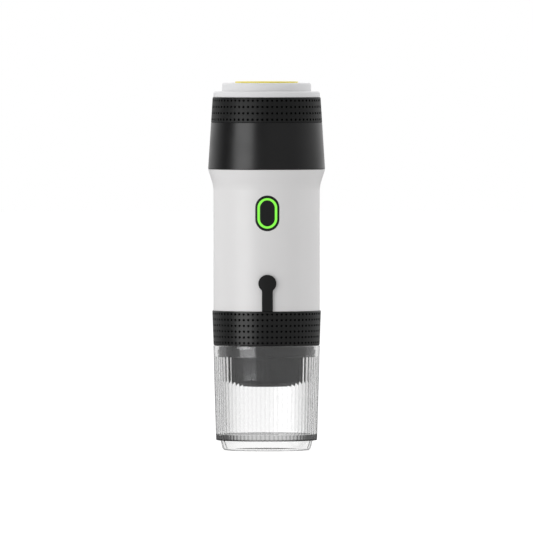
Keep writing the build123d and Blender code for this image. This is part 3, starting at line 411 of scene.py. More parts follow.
def vary(tree, shader, share, colour, cloud, gloss_share, roughness, shift):
    """Lets the colour follow one noise down to a cloud's share of its light, and the roughness another."""
    tree.links.new(mixed_colour(tree, share, colour, dimmed(colour, cloud)), shader.inputs["Base Color"])
    rough = mapped(tree, gloss_share, 0.3, 0.7, roughness - shift, roughness + shift)
    tree.links.new(rough, shader.inputs["Roughness"])


def add_relief(tree, shader, height, strength, depth):
    """Gives the surface a relief that follows a value."""
    bump = add_node(tree, "ShaderNodeBump", {"Height": height, "Strength": strength, "Distance": depth})
    tree.links.new(bump.outputs["Normal"], shader.inputs["Normal"])


def moulded(name, colour, roughness, grain_mm=0.25, grain_depth_mm=0.004, cloud=0.95, **constants):
    """Moulded plastic or rubber: a fine spark-eroded grain, and broad faint changes in colour and gloss."""
    material, tree, shader = new_finish(name, **constants)
    broad = object_noise(tree, 14)
    vary(tree, shader, broad, colour, cloud, broad, roughness, 0.04)
    add_relief(tree, shader, object_noise(tree, grain_mm, detail=3.0), 0.6, grain_depth_mm * MM)
    return material


def grip_finish(name, colour, roughness, gloss, low, high):
    """Silicone of a dotted grip, with painted shade in its pits: their gloss is turned down so that they read
    dull and dark.
    The outside runs from a low to a high (radius, height), and whatever lies well inside of it is the inside
    of a pit."""
    pit_starts, pit_ends, painted_pit_shade_gloss = 0.12 * MM, 0.3 * MM, 0.03
    material = moulded(name, colour, roughness, grain_mm=0.18)
    tree = material.node_tree
    place = object_place(tree)
    height = add_node(tree, "ShaderNodeSeparateXYZ", {"Vector": place}).outputs["Z"]
    level = add_node(tree, "ShaderNodeVectorMath", {0: place, 1: (1, 1, 0)}, operation="MULTIPLY").outputs[0]
    reach = add_node(tree, "ShaderNodeVectorMath", {0: level}, operation="LENGTH").outputs["Value"]
    outside = mapped(tree, height, low[1], high[1], low[0], high[0], clamp=False)
    depth = reckoned(tree, "SUBTRACT", outside, reach)
    # Painted shade: the gloss drops inside the pits so that they read dark
    gloss_with_painted_pit_shade = mapped(tree, depth, pit_starts, pit_ends, gloss, painted_pit_shade_gloss)
    tree.links.new(gloss_with_painted_pit_shade, tree.nodes["Shader"].inputs["Specular IOR Level"])
    return material


def metal(name, code, roughness, grain_mm=0.2, stretch=(1, 1, 12), depth_mm=0.003):
    """Bare metal: fine drawn lines in its gloss and its surface."""
    material, tree, shader = new_finish(name, Metallic=1.0)
    lines = object_noise(tree, grain_mm, stretch=stretch, detail=3.0)
    vary(tree, shader, object_noise(tree, 9), light_of(code), 0.88, lines, roughness, 0.08)
    add_relief(tree, shader, lines, 0.5, depth_mm * MM)
    return material


def clear_finish(tint, sizes):
    """Clear copolyester: light passes straight through the flats and bends in the reeds. Painted shade dims
    the tint at their valleys and steep sides, which read as fine grey lines, and paints the thick floor
    darker still."""
    material, tree, shader = new_finish(
        "clear_copolyester", Transmission_Weight=1.0, IOR=1.56, Roughness=0.03)
    place = add_node(tree, "ShaderNodeSeparateXYZ", {"Vector": object_place(tree)}).outputs
    slope = add_node(tree, "ShaderNodeLayerWeight", {"Blend": 0.5}).outputs["Facing"]
    # A valley lies half way between two crests, over the floor and under the plain band; painted shade draws
    # a grey line along it
    around = reckoned(tree, "ARCTAN2", place["Y"], place["X"])
    turns = reckoned(tree, "MULTIPLY", around, sizes.reeds / FULL_TURN)
    valley = mapped(tree, reckoned(tree, "PINGPONG", turns, 0.5), 0.2, 0.42)
    over_floor = reckoned(tree, "GREATER_THAN", place["Z"], CLEAR_SLAB[1])
    under_band = reckoned(tree, "LESS_THAN", place["Z"], CUP_TOP - sizes.band)
    painted_valley_shade = reckoned(tree, "MULTIPLY", valley, reckoned(tree, "MULTIPLY", over_floor, under_band))
    # The wall: painted shade turns a reed's sides grey, and the cup's outermost edge, which turns farthest,
    # less so
    edge = reckoned(
        tree, "MULTIPLY", mapped(tree, slope, 0.12, 0.45), mapped(tree, slope, 0.5, 0.8, 1.0, 0.3))
    flat = mixed_colour(tree, painted_valley_shade, tint, dimmed(tint, 0.93))
    steep = mixed_colour(tree, painted_valley_shade, dimmed(tint, 0.9), dimmed(tint, 0.4))
    wall = mixed_colour(tree, edge, flat, steep)
    # The floor: painted shade where light first goes into it, darkest at its turned edges
    blur = 0.1 * MM
    above, below = (
        mapped(tree, place["Z"], level - blur, level + blur, *ends)
        for level, ends in zip(CLEAR_SLAB, ((0.0, 1.0), (1.0, 0.0))))
    passes = add_node(tree, "ShaderNodeLightPath").outputs["Transmission Depth"]
    thick = reckoned(
        tree, "MULTIPLY", reckoned(tree, "MULTIPLY", above, below), reckoned(tree, "LESS_THAN", passes, 0.5))
    painted_slab_shade = mixed_colour(tree, valley, dimmed(tint, 0.32), dimmed(tint, 0.2))
    floor = mixed_colour(tree, mapped(tree, slope, 0.05, 0.3), painted_slab_shade, dimmed(tint, 0.012))
    tree.links.new(mixed_colour(tree, thick, wall, floor), shader.inputs["Base Color"])
    add_relief(tree, shader, object_noise(tree, 6), 0.15, 0.05 * MM)
    return material


def glow_finish(colour):
    """Light guide: translucent plastic that glows, with faint broad changes in its light."""
    material, tree, shader = new_finish(
        "green_light_guide", Roughness=0.35, Emission_Strength=1.0, Base_Color=(*dimmed(colour, 0.08), 1))
    light = mixed_colour(tree, object_noise(tree, 2.5), colour, dimmed(colour, 0.9))
    tree.links.new(light, shader.inputs["Emission Color"])
    return material


def board_finish():
    """Circuit board: green solder mask over the faint relief of copper tracks."""
    material, tree, shader = new_finish("solder_mask_green", Roughness=0.32)
    tracks = add_node(tree, "ShaderNodeTexBrick", {
        "Vector": object_place(tree), "Scale": 1 / (6 * MM), "Mortar Size": 0.06, "Mortar Smooth": 0.2,
        "Color1": (*light_of("1B5E35"), 1), "Color2": (*light_of("1F6B3C"), 1),
        "Mortar": (*light_of("2F8A54"), 1),
    }).outputs
    tree.links.new(tracks["Color"], shader.inputs["Base Color"])
    add_relief(tree, shader, tracks["Fac"], 0.5, 0.03 * MM)
    return material


def tubing_finish():
    """Clear silicone tubing: milky, soft and a little wet."""
    material, tree, shader = new_finish(
        "milky_silicone", Roughness=0.4, Subsurface_Weight=0.35,
        Subsurface_Radius=(1.2 * MM, 1.1 * MM, 1.0 * MM))
    milk = mixed_colour(tree, object_noise(tree, 5), light_of("E8E7E1"), light_of("D9D8D0"))
    tree.links.new(milk, shader.inputs["Base Color"])
    return material


def floor_finish():
    """Pale paper floor: white where the camera sees it in full light, with the maker's soft shadow."""
    material, tree, shader = new_finish(
        "studio_paper", Roughness=0.9, Specular_IOR_Level=0.0, Emission_Color=(1, 1, 1, 1))
    bounced, spread, passed, behind = ray_tests(tree)
    mirrored = blended(tree, passed, 0.08, blended(tree, behind, 0.85, 0.0))
    seen = blended(tree, bounced, blended(tree, passed, 0.88, 0.84), mirrored)
    tree.links.new(blended(tree, spread, seen, 0.42), shader.inputs["Emission Strength"])
    paper = mixed_colour(tree, object_noise(tree, 900), light_of("8C8C8C"), light_of("888888"))
    tree.links.new(mixed_colour(tree, bounced, paper, light_of("5C5C5C")), shader.inputs["Base Color"])
    return material


# The packed parts that keep their own shape, by the finish that they show
KEPT_PARTS = {
    "smoked": "brew_head",
    "steel": "crema_nozzle filter_basket shower_screen shower_screw body_screws water_tank inlet_filter"
             " temperature_probe",
    "seal_rubber": "head_gasket pump_cushion pump_diaphragm lid_seal",
    "pump_plastic": "pump_cover pump_body motor_cap",
    "motor_steel": "motor_can motor_rotor",
    "magnet": "motor_magnets",
    "bronze": "motor_bushes drive_cam",
    "aluminium": "heater_plate heater_element",
    "milky": "inlet_tube outlet_tube",
    "cell": "cell_1 cell_2 cell_3",
    "nickel": "cell_links tact_switch",
    "tray": "lower_tray upper_tray",
    "board": "control_board",
    "chip": "power_parts thermostat",
    "led": "status_leds",
    "socket": "dc_socket",
    "dark_plastic": "switch_plunger",
}


def shell_radius(housing, height):
    """Outside radius of the tank section at a height."""
    share = (height - SEAM) / (SHELL_TOP - SEAM)
    return housing.shell + (housing.shell_top - housing.shell) * share


def spigot_radius(housing, drop):
    """Radius of the tank section's spigot, which reaches down into the body's flare by a drop."""
    return housing.shell + (housing.body - housing.shell) * drop / housing.flare - housing.wall


def make_finishes(tones, cup, grips, housing):
    """Every finish of the maker, by the name that the pieces use."""
    return {
        # Clear copolyester of the cup: bright where it is flat, with painted shade for the grey lines at the
        # reeds and the darker floor
        "clear": clear_finish(tones.clear, cup),
        # Satin ABS of the body: an even white with a soft, wide sheen
        "body": moulded("white_abs_satin", tones.body, 0.38, cloud=0.97),
        # Satin ABS of the lid, the same white as the body but duller
        "lid": moulded("white_abs_lid", tones.lid, 0.55, cloud=0.97, Specular_IOR_Level=0.3),
        # Semi-gloss ABS of the tank section: deep black with a clear upright reflection
        "shell": moulded("black_abs_semigloss", tones.shell, 0.32, grain_depth_mm=0.002),
        # Silicone of the grips and the plug: black and dull, with a soft wide light down one side, and
        # painted shade in the grips' pits
        "ring": grip_finish(
            "black_silicone_ring", tones.silicone, 0.36, 0.6,
            (grips.ring_bottom, CUP_TOP), (grips.ring_top, RING_TOP)),
        "band": grip_finish(
            "black_silicone_band", tones.silicone, 0.5, 0.38,
            (shell_radius(housing, BAND_FOOT), BAND_FOOT), (grips.band_top, SHELL_TOP)),
        "silicone": moulded("black_silicone_matte", tones.silicone, 0.38, grain_mm=0.18),
        # Mirror-gloss ABS of the outlet: as bright a mirror as dark metal, which reads through the cup
        "outlet": moulded(
            "black_abs_mirror_gloss", tones.outlet, 0.14, grain_depth_mm=0.001, Metallic=1.0),
        # Smoked polycarbonate of the brewing head's skirt: light comes through at its sides
        "smoked": moulded(
            "smoked_polycarbonate", light_of("C4C4C6"), 0.08, grain_depth_mm=0.001, Transmission_Weight=0.95),
        # Polyamide of the switch's plunger: dark grey and matt
        "dark_plastic": moulded("dark_polyamide_head", light_of("2B2B2D"), 0.4, grain_mm=0.3),
        # Polycarbonate of the inlay: saturated yellow, smooth and a little glossy
        "inlay": moulded("yellow_polycarbonate", tones.inlay, 0.3, grain_depth_mm=0.002, cloud=0.96),
        # Gloss ABS of the button and its surround: black with a sharp light on its edges
        "button": moulded("black_abs_gloss", tones.button, 0.3, grain_depth_mm=0.002),
        # Light guide of the button: an even bright green
        "glow": glow_finish(tones.glow),
        # Brushed stainless steel and rolled nickel of the pieces inside: pale mirrors with fine drawn lines
        "steel": metal("stainless_steel_brushed", "C9C8C4", 0.3),
        "nickel": metal("nickel_strip", "C4BFB3", 0.34, stretch=(12, 1, 1)),
        # Sintered bronze and cast aluminium: warm and grey, dull, with an even grain
        "bronze": metal("sintered_bronze", "A9793F", 0.42, stretch=(1, 1, 1), grain_mm=0.12),
        "aluminium": metal("cast_aluminium", "B5B6B8", 0.48, stretch=(1, 1, 1), grain_mm=0.5, depth_mm=0.02),
        # Zinc-plated steel of the motor: a grey mirror with fine lines round it
        "motor_steel": metal("zinc_plated_steel", "AEB0B4", 0.33, stretch=(1, 1, 10)),
        # Ferrite of the magnets: dark, dull and coarse
        "magnet": moulded("ferrite_dark", light_of("3A3735"), 0.6, grain_mm=0.2, grain_depth_mm=0.02),
        # Silicone of the seals, acetal of the pump, ABS of the trays and PBT of the socket: matt to satin
        "seal_rubber": moulded("seal_silicone_grey", light_of("A7A9A8"), 0.55, grain_mm=0.2),
        "pump_plastic": moulded("pump_acetal_white", light_of("D6D4CC"), 0.42),
        "tray": moulded("tray_abs_grey", light_of("6E7073"), 0.5),
        "socket": moulded("socket_pbt_black", light_of("202122"), 0.38),
        # Epoxy of the chips: dull black. Lens of the lamps: pale and smooth. Shrunk film of the cells: glossy
        "chip": moulded("epoxy_black", light_of("1D1D1F"), 0.5, grain_mm=0.12, grain_depth_mm=0.01),
        "led": moulded("led_lens", light_of("E7E6C8"), 0.25),
        "cell": moulded("cell_wrap_blue", light_of("2C5E8E"), 0.28, grain_depth_mm=0.002, cloud=0.92),
        "board": board_finish(),
        "milky": tubing_finish(),
    }


FINISHES = {}


# Operators, one for each piece or group of like pieces

class MAKER_OT_finishes(bpy.types.Operator):
    """Make the finishes and give them to the packed parts that stay in view"""
    bl_idname = "maker.finishes"
    bl_label = "Finishes"

    def execute(self, context):
        scene = context.scene
        FINISHES.update(make_finishes(
            scene.espresso_finishes, scene.espresso_cup, scene.espresso_grips, scene.espresso_housing))
        for finish, parts in KEPT_PARTS.items():
            for part in parts.split():
                slots = NODES[part].data.materials
                slots.clear()
                slots.append(FINISHES[finish])
        return {"FINISHED"}


class MAKER_OT_cup(bpy.types.Operator):
    """Model the clear cup with its reeded wall, thick floor and smooth foot"""
    bl_idname = "maker.cup"
    bl_label = "Clear cup"

    def execute(self, context):
        sizes = context.scene.espresso_cup
        per_reed = 8
        foot_ring, dish, dish_slope = 3.4 * MM, 0.1 * MM, 4.0 * MM
        band_step = 0.25 * MM
        foot_round, inner_rim_round = 1.4 * MM, 0.4 * MM

        def wall_radius(height):
            share = (height - sizes.foot_height) / (CUP_TOP - sizes.foot_height)
            return sizes.wall_bottom + (sizes.rim - sizes.wall_bottom) * share

        floor_top = sizes.foot_height + sizes.floor
        reeds_low = sizes.foot_height + sizes.corner
        reeds_high = CUP_TOP - sizes.band
        bore = wall_radius(floor_top) - sizes.wall
        outline = [
            (0, dish), (sizes.foot_bottom - foot_ring - dish_slope, dish), (sizes.foot_bottom - foot_ring, 0),
            (sizes.foot_bottom, 0), (sizes.foot_top, sizes.foot_height),
            (wall_radius(sizes.foot_height) - sizes.corner, sizes.foot_height),
            (wall_radius(reeds_low), reeds_low), (wall_radius(reeds_high), reeds_high),
            (wall_radius(reeds_high), reeds_high + band_step), (sizes.rim, CUP_TOP),
            (sizes.rim - sizes.wall, CUP_TOP), (bore, floor_top), (0, floor_top),
        ]
        cup = turn_outline("clear_cup", outline, steps=sizes.reeds * per_reed)
        soften([
            (sizes.foot_bottom, 0, foot_round), (sizes.rim, CUP_TOP, sizes.rim_round),
            (sizes.rim - sizes.wall, CUP_TOP, inner_rim_round), (bore, floor_top, sizes.floor_round),
        ])
        # Each reed is an arc over its chord: the points beside its crest are drawn in to it
        half_chord = HALF_TURN * sizes.rim / sizes.reeds
        arc = (half_chord ** 2 + sizes.reed_depth ** 2) / (2 * sizes.reed_depth)
        for height in (reeds_low, reeds_high):
            crest = wall_radius(height)
            for step in range(1, per_reed // 2 + 1):
                share = 2 * step / per_reed
                drop = arc - math.sqrt(arc ** 2 - (half_chord * share) ** 2)

                def beside_crest(vertex):
                    if not (near(vertex.co.z, height) and near(radius_of(vertex.co), crest)):
                        return False
                    turns = math.atan2(vertex.co.y, vertex.co.x) / FULL_TURN * sizes.reeds * per_reed
                    place = round(turns) % per_reed
                    return min(place, per_reed - place) == step

                pick(beside_crest)
                factor = (crest - drop) / crest
                bpy.ops.transform.resize(value=(factor, factor, 1), center_override=(0, 0, height))
        finish_piece(cup, "cup", "clear", "cup", angle=25)
        return {"FINISHED"}


def dotted_strip(name, grips, rows, height):
    """A flat strip of dotted cells, one modelled and the rest copied, that faces -Y from the foot up."""
    around = 16
    lead_in, pit_taper = 0.08 * MM, 0.12 * MM
    rim = grips.dot / 2 + lead_in
    cell_width = FULL_TURN * grips.ring_bottom / grips.columns
    cell_height = height / rows
    strip = add_primitive(bpy.ops.mesh.primitive_plane_add, name, turn=(QUARTER_TURN, 0, 0), size=1.0)
    bpy.ops.transform.resize(value=(cell_width, 1, cell_height), center_override=(0, 0, 0))
    select_whole()
    bpy.ops.mesh.delete(type="ONLY_FACE")
    select_whole()
    bpy.ops.mesh.subdivide(number_cuts=around // 4 - 1)
    bpy.ops.mesh.select_all(action="DESELECT")
    bpy.ops.mesh.primitive_circle_add(
        vertices=around, radius=rim, location=(0, 0, 0), rotation=(QUARTER_TURN, HALF_TURN / around, 0))
    select_whole("EDGE")
    bpy.ops.mesh.bridge_edge_loops()
    pick(lambda edge: all(near(v.co.length, rim) for v in edge.verts), "EDGE")
    for reach, depth in ((grips.dot / 2, lead_in), (grips.dot / 2 - pit_taper, grips.depth)):
        bpy.ops.mesh.extrude_edges_move(TRANSFORM_OT_translate={"value": (0, depth, 0)})
        share = reach / rim
        bpy.ops.transform.resize(value=(share, 1, share), center_override=(0, 0, 0))
        rim = reach
    bpy.ops.mesh.edge_face_add()
    face_outward()
    for count, offset in ((rows, (0, 0, cell_height)), (grips.columns, (cell_width, 0, 0))):
        apply_modifier(
            strip, "ARRAY", count=count, use_relative_offset=False, use_constant_offset=True,
            constant_offset_displace=offset, use_merge_vertices=True, merge_threshold=0.005 * MM)
    bpy.ops.object.mode_set(mode="EDIT")
    select_whole()
    bpy.ops.transform.translate(value=(-cell_width * (grips.columns // 2), 0, cell_height / 2))
    return strip


def close_grip(strip, foot, height, low, high, bore_low, bore_high, grips):
    """Bends a dotted strip to a ring that goes from a low to a high radius, and closes it behind."""
    apply_modifier(strip, "SIMPLE_DEFORM", deform_method="BEND", deform_axis="Z", angle=FULL_TURN)
    bpy.ops.object.mode_set(mode="EDIT")
    select_whole()
    bpy.ops.mesh.remove_doubles(threshold=0.01 * MM)
    bpy.ops.transform.translate(value=(0, -grips.ring_bottom, 0))
    share = low / grips.ring_bottom
    bpy.ops.transform.resize(value=(share, share, 1), center_override=(0, 0, 0))
    apply_modifier(strip, "SIMPLE_DEFORM", deform_method="TAPER", deform_axis="Z", factor=high / low - 1)
    bpy.ops.object.mode_set(mode="EDIT")
    for level, outer, bore in ((height, high, bore_high), (0, low, bore_low)):
        pick(lambda e: e.is_boundary and all(near(v.co.z, level) for v in e.verts), "EDGE")
        grow_to((outer, level), (bore, level))
    pick(lambda e: e.is_boundary, "EDGE")
    bpy.ops.mesh.bridge_edge_loops()
    soften([(low, 0, grips.edge), (high, height, grips.edge)], segments=3)
    face_outward()
    bpy.ops.transform.translate(value=(0, 0, foot))


class MAKER_OT_grips(bpy.types.Operator):
    """Model the dotted grip ring and grip band, each a strip of copied cells bent round the maker"""
    bl_idname = "maker.grips"
    bl_label = "Grip ring and band"

    def execute(self, context):
        grips = context.scene.espresso_grips
        housing = context.scene.espresso_housing
        height = RING_TOP - CUP_TOP
        ring = dotted_strip("dotted_grip_ring", grips, grips.ring_rows, height)
        close_grip(
            ring, CUP_TOP, height, grips.ring_bottom, grips.ring_top, grips.ring_bore, grips.ring_bore, grips)
        finish_piece(ring, "housing", "ring", "grip_ring")
        height = SHELL_TOP - BAND_FOOT
        foot_radius = shell_radius(housing, BAND_FOOT)
        band = dotted_strip("dotted_grip_band", grips, grips.band_rows, height)
        close_grip(
            band, BAND_FOOT, height, foot_radius, grips.band_top, foot_radius - grips.band_thickness,
            grips.band_top - grips.band_thickness, grips)
        finish_piece(band, "housing", "band", "grip_band")
        return {"FINISHED"}


def stadium_loop(name, height, length_over, width, depth=0.0, steps=48):
    """An upright stadium loop that faces -Y, open for editing, with its edge selected."""
    made = add_primitive(
        bpy.ops.mesh.primitive_circle_add, name, place=(0, -depth, height),
        turn=(QUARTER_TURN, HALF_TURN / steps, 0), radius=width / 2, vertices=steps)
    rise = (length_over - width) / 2
    pick(lambda vertex: vertex.co.z > height)
    bpy.ops.transform.translate(value=(0, 0, rise))
    pick(lambda vertex: vertex.co.z < height)
    bpy.ops.transform.translate(value=(0, 0, -rise))
    select_whole("EDGE")
    return made


class MAKER_OT_body(bpy.types.Operator):
    """Model the white body with its flare, its button hole and its charging hole"""
    bl_idname = "maker.body"
    bl_label = "White body"

    def execute(self, context):
        sizes = context.scene.espresso_housing
        front = context.scene.espresso_front
        grips = context.scene.espresso_grips
        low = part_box("main_body")[0].z
        bay = sizes.body - sizes.wall
        flare_foot = SEAM - sizes.flare
        flare_round, ring_step_round = 2.4 * MM, 0.15 * MM
        cut_inside, cut_outside, cut_middle, cut_depth = 20 * MM, 50 * MM, 30 * MM, 20 * MM
        port_bore, spigot_drop = 4.4 * MM, 5.0 * MM
        spigot = spigot_radius(sizes, spigot_drop)
        outline = [
            (bay, low), (grips.ring_bore, low), (grips.ring_bore, RING_TOP), (sizes.body, RING_TOP),
            (sizes.body, flare_foot), (sizes.shell, SEAM), (spigot, SEAM), (spigot, SEAM - spigot_drop),
            (bay, flare_foot),
        ]
        body = turn_outline("white_body", outline)
        soften([(sizes.body, flare_foot, flare_round)], segments=8)
        soften([(sizes.shell, SEAM, sizes.lip), (sizes.body, RING_TOP, ring_step_round)], segments=3)
        hole = stadium_loop(
            "button_hole", front.button_height, front.bezel_length, front.bezel_width, cut_inside)
        bpy.ops.mesh.edge_face_add()
        draw_along_y(cut_inside - cut_outside)
        face_outward()
        combine(body, hole, "DIFFERENCE")
        port = add_primitive(
            bpy.ops.mesh.primitive_cylinder_add, "charging_hole", place=(0, -cut_middle, front.plug_height),
            turn=(QUARTER_TURN, 0, 0), radius=port_bore, depth=cut_depth, vertices=48)
        combine(body, port, "DIFFERENCE")
        finish_piece(body, "housing", "body", "main_body")
        return {"FINISHED"}


class MAKER_OT_shell(bpy.types.Operator):
    """Model the black outer shell of the tank section"""
    bl_idname = "maker.shell"
    bl_label = "Tank section"

    def execute(self, context):
        sizes = context.scene.espresso_housing
        grips = context.scene.espresso_grips
        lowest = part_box("tank_shell")[0].z
        spigot = spigot_radius(sizes, SEAM - lowest)
        foot_radius = shell_radius(sizes, BAND_FOOT)
        spigot_wall, tank_flange, ledge_thick = 1.6 * MM, 1.6 * MM, 1.6 * MM
        neck, ledge = 31.0 * MM, 29.4 * MM
        band_step_round = 0.12 * MM
        ledge_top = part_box("water_tank")[1].z - tank_flange
        ledge_low = ledge_top - ledge_thick

        outline = [
            (spigot - spigot_wall, lowest), (spigot, lowest), (spigot, SEAM), (sizes.shell, SEAM),
            (foot_radius, BAND_FOOT), (foot_radius - grips.band_thickness, BAND_FOOT),
            (sizes.shell_top - grips.band_thickness, SHELL_TOP), (neck, SHELL_TOP), (neck, ledge_top),
            (ledge, ledge_top), (ledge, ledge_low), (shell_radius(sizes, ledge_low) - sizes.wall, ledge_low),
            (sizes.shell - sizes.wall, SEAM + spigot_wall), (spigot - spigot_wall, SEAM + spigot_wall),
        ]
        shell = turn_outline("tank_outer_shell", outline)
        soften([(sizes.shell, SEAM, sizes.lip), (foot_radius, BAND_FOOT, band_step_round)], segments=3)
        finish_piece(shell, "housing", "shell", "tank_shell")
        return {"FINISHED"}


class MAKER_OT_lid(bpy.types.Operator):
    """Model the stepped white lid and its domed yellow inlay"""
    bl_idname = "maker.lid"
    bl_label = "Lid and inlay"

    def execute(self, context):
        sizes = context.scene.espresso_lid
        step_low = SHELL_TOP + sizes.rim_height
        lid_wall, skirt, inlay_depth = 2.0 * MM, 30.7 * MM, 1.0 * MM
        small_round, recess_round, inlay_round = 0.3 * MM, 0.15 * MM, 0.2 * MM
        skirt_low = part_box("tank_lid")[0].z
        recess = LID_TOP - inlay_depth
        outline = [
            (0, recess), (sizes.inlay, recess), (sizes.inlay, LID_TOP), (sizes.step, LID_TOP),
            (sizes.step, step_low), (sizes.rim, step_low), (sizes.rim, SHELL_TOP), (skirt, SHELL_TOP),
            (skirt, skirt_low), (skirt - lid_wall, skirt_low), (skirt - lid_wall, step_low - lid_wall),
            (sizes.step - lid_wall, step_low - lid_wall), (sizes.step - lid_wall, recess - lid_wall / 2),
            (0, recess - lid_wall / 2),
        ]
        lid = turn_outline("stepped_lid", outline)
        soften([(sizes.step, LID_TOP, sizes.edge), (sizes.rim, step_low, sizes.edge)], segments=5)
        soften([
            (sizes.step, step_low, small_round), (sizes.inlay, LID_TOP, recess_round),
            (sizes.rim, SHELL_TOP, small_round),
        ], segments=3)
        finish_piece(lid, "lid", "lid", "tank_lid")

        edge_top = LID_TOP + sizes.inlay_edge
        dome = [(0, recess), (sizes.inlay, recess), (sizes.inlay, edge_top)]
        rings = 7
        for ring in range(1, rings):
            share = 1 - ring / rings
            crown = (sizes.inlay_rise - sizes.inlay_edge) * (1 - share ** 2)
            dome.append((sizes.inlay * share, edge_top + crown))
        dome.append((0, LID_TOP + sizes.inlay_rise))
        inlay = turn_outline("yellow_inlay", dome, steps=144)
        soften([(sizes.inlay, edge_top, inlay_round)], segments=3)
        finish_piece(inlay, "lid", "inlay", "lid_inlay")
        return {"FINISHED"}


class MAKER_OT_outlet(bpy.types.Operator):
    """Model the dark outlet that hangs in the cup"""
    bl_idname = "maker.outlet"
    bl_label = "Outlet"

    def execute(self, context):
        low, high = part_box("outlet")
        nozzle, face, wall_foot, wall_top = 4.0 * MM, 15.0 * MM, 23.9 * MM, 24.2 * MM
        neck, bore, wall = 25.0 * MM, 21.3 * MM, 2.0 * MM
        shoulder_height, skirt_depth, neck_slope = 3.1 * MM, 7.2 * MM, 2.4 * MM
        edge, nozzle_edge = 1.2 * MM, 0.3 * MM
        shoulder = low.z + shoulder_height
        skirt = CUP_TOP - skirt_depth
        basket_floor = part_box("filter_basket")[0].z
        outline = [
            (nozzle, low.z), (face, low.z), (wall_foot, shoulder), (wall_top, skirt),
            (neck, skirt + neck_slope), (neck, high.z), (bore, high.z), (bore, basket_floor),
            (wall_foot - wall, shoulder + wall), (face, low.z + wall), (nozzle, low.z + wall),
        ]
        outlet = turn_outline("outlet_holder", outline, steps=144)
        soften([(face, low.z, edge), (wall_foot, shoulder, edge), (nozzle, low.z, nozzle_edge)])
        finish_piece(outlet, "outlet", "outlet", "outlet")
        return {"FINISHED"}


def wrap_front(made, radius):
    """Bends a flat piece that faces -Y at y = 0 round the maker's axis, with its front at a radius."""
    bpy.ops.object.mode_set(mode="OBJECT")
    spread = [vertex.co.x for vertex in made.data.vertices]
    width = max(spread) - min(spread)
    apply_modifier(made, "SIMPLE_DEFORM", deform_method="BEND", deform_axis="Z", angle=width / radius)
    bpy.ops.object.mode_set(mode="EDIT")
    select_whole()
    bpy.ops.transform.translate(value=(0, -radius, 0))


def round_front(size, segments):
    """Rounds the sharp edges of a flat piece's front, at y = 0."""
    sharp = 1.0
    pick(lambda e: e.calc_face_angle(0) > sharp and all(near(v.co.y, 0) for v in e.verts), "EDGE")
    round_edges(size, segments)


def front_frame(name, height, outer, inner, depth, edge):
    """A flat upright stadium frame, from an outer to an inner (length, width), with its front at y = 0."""
    steps = 48
    made = stadium_loop(name, height, *outer, steps=steps)
    bpy.ops.mesh.select_all(action="DESELECT")
    bpy.ops.mesh.primitive_circle_add(
        vertices=steps, radius=inner[1] / 2, location=(0, 0, height),
        rotation=(QUARTER_TURN, HALF_TURN / steps, 0))
    rise, margin = (inner[0] - inner[1]) / 2, 0.1 * MM
    within = outer[1] / 2 - margin
    for way in (1, -1):
        pick(lambda v: way * (v.co.z - height) > 0 and math.hypot(v.co.x, v.co.z - height) < within)
        bpy.ops.transform.translate(value=(0, 0, way * rise))
    select_whole("EDGE")
    bpy.ops.mesh.bridge_edge_loops()
    select_whole()
    draw_along_y(depth)
    face_outward()
    round_front(edge, 2)
    return made


class MAKER_OT_button(bpy.types.Operator):
    """Model the button, its glowing ring and its surround"""
    bl_idname = "maker.button"
    bl_label = "Button"

    def execute(self, context):
        front = context.scene.espresso_front
        height = front.button_height
        gap, cap_depth, cap_round = 0.15 * MM, 2.8 * MM, 0.35 * MM
        cap_insets = (0.45 * MM, 0.9 * MM, 1.2 * MM)
        surround = (front.bezel_length, front.bezel_width)
        light = (front.light_length, front.light_width)
        hole = tuple(size - 2 * front.light_band for size in light)
        for name, outer, inner, depth, edge, finish, part, slot in (
            ("button_surround", surround, light, 4.2 * MM, 0.12 * MM,
             "button", "button_bezel", "black_plastic"),
            ("glowing_ring", light, hole, 2.5 * MM, 0.1 * MM, "glow", "light_ring", "light_guide"),
        ):
            made = front_frame(name, height, outer, inner, depth, edge)
            wrap_front(made, -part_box("button_bezel")[0].y)
            finish_piece(made, "housing", finish, part)
        cap = stadium_loop("button_cap", height, *(size - 2 * gap for size in hole))
        bpy.ops.mesh.edge_face_add()
        draw_along_y(cap_depth)
        face_outward()
        # Nested rims in the flat front let it bend evenly
        pick(lambda face: face.normal.y < -0.9, "FACE")
        for thickness in cap_insets:
            bpy.ops.mesh.inset(thickness=thickness, depth=0)
        round_front(cap_round, 4)
        bpy.ops.mesh.select_all(action="DESELECT")
        wrap_front(cap, -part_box("power_button")[0].y)
        finish_piece(cap, "button", "button", "power_button")
        return {"FINISHED"}


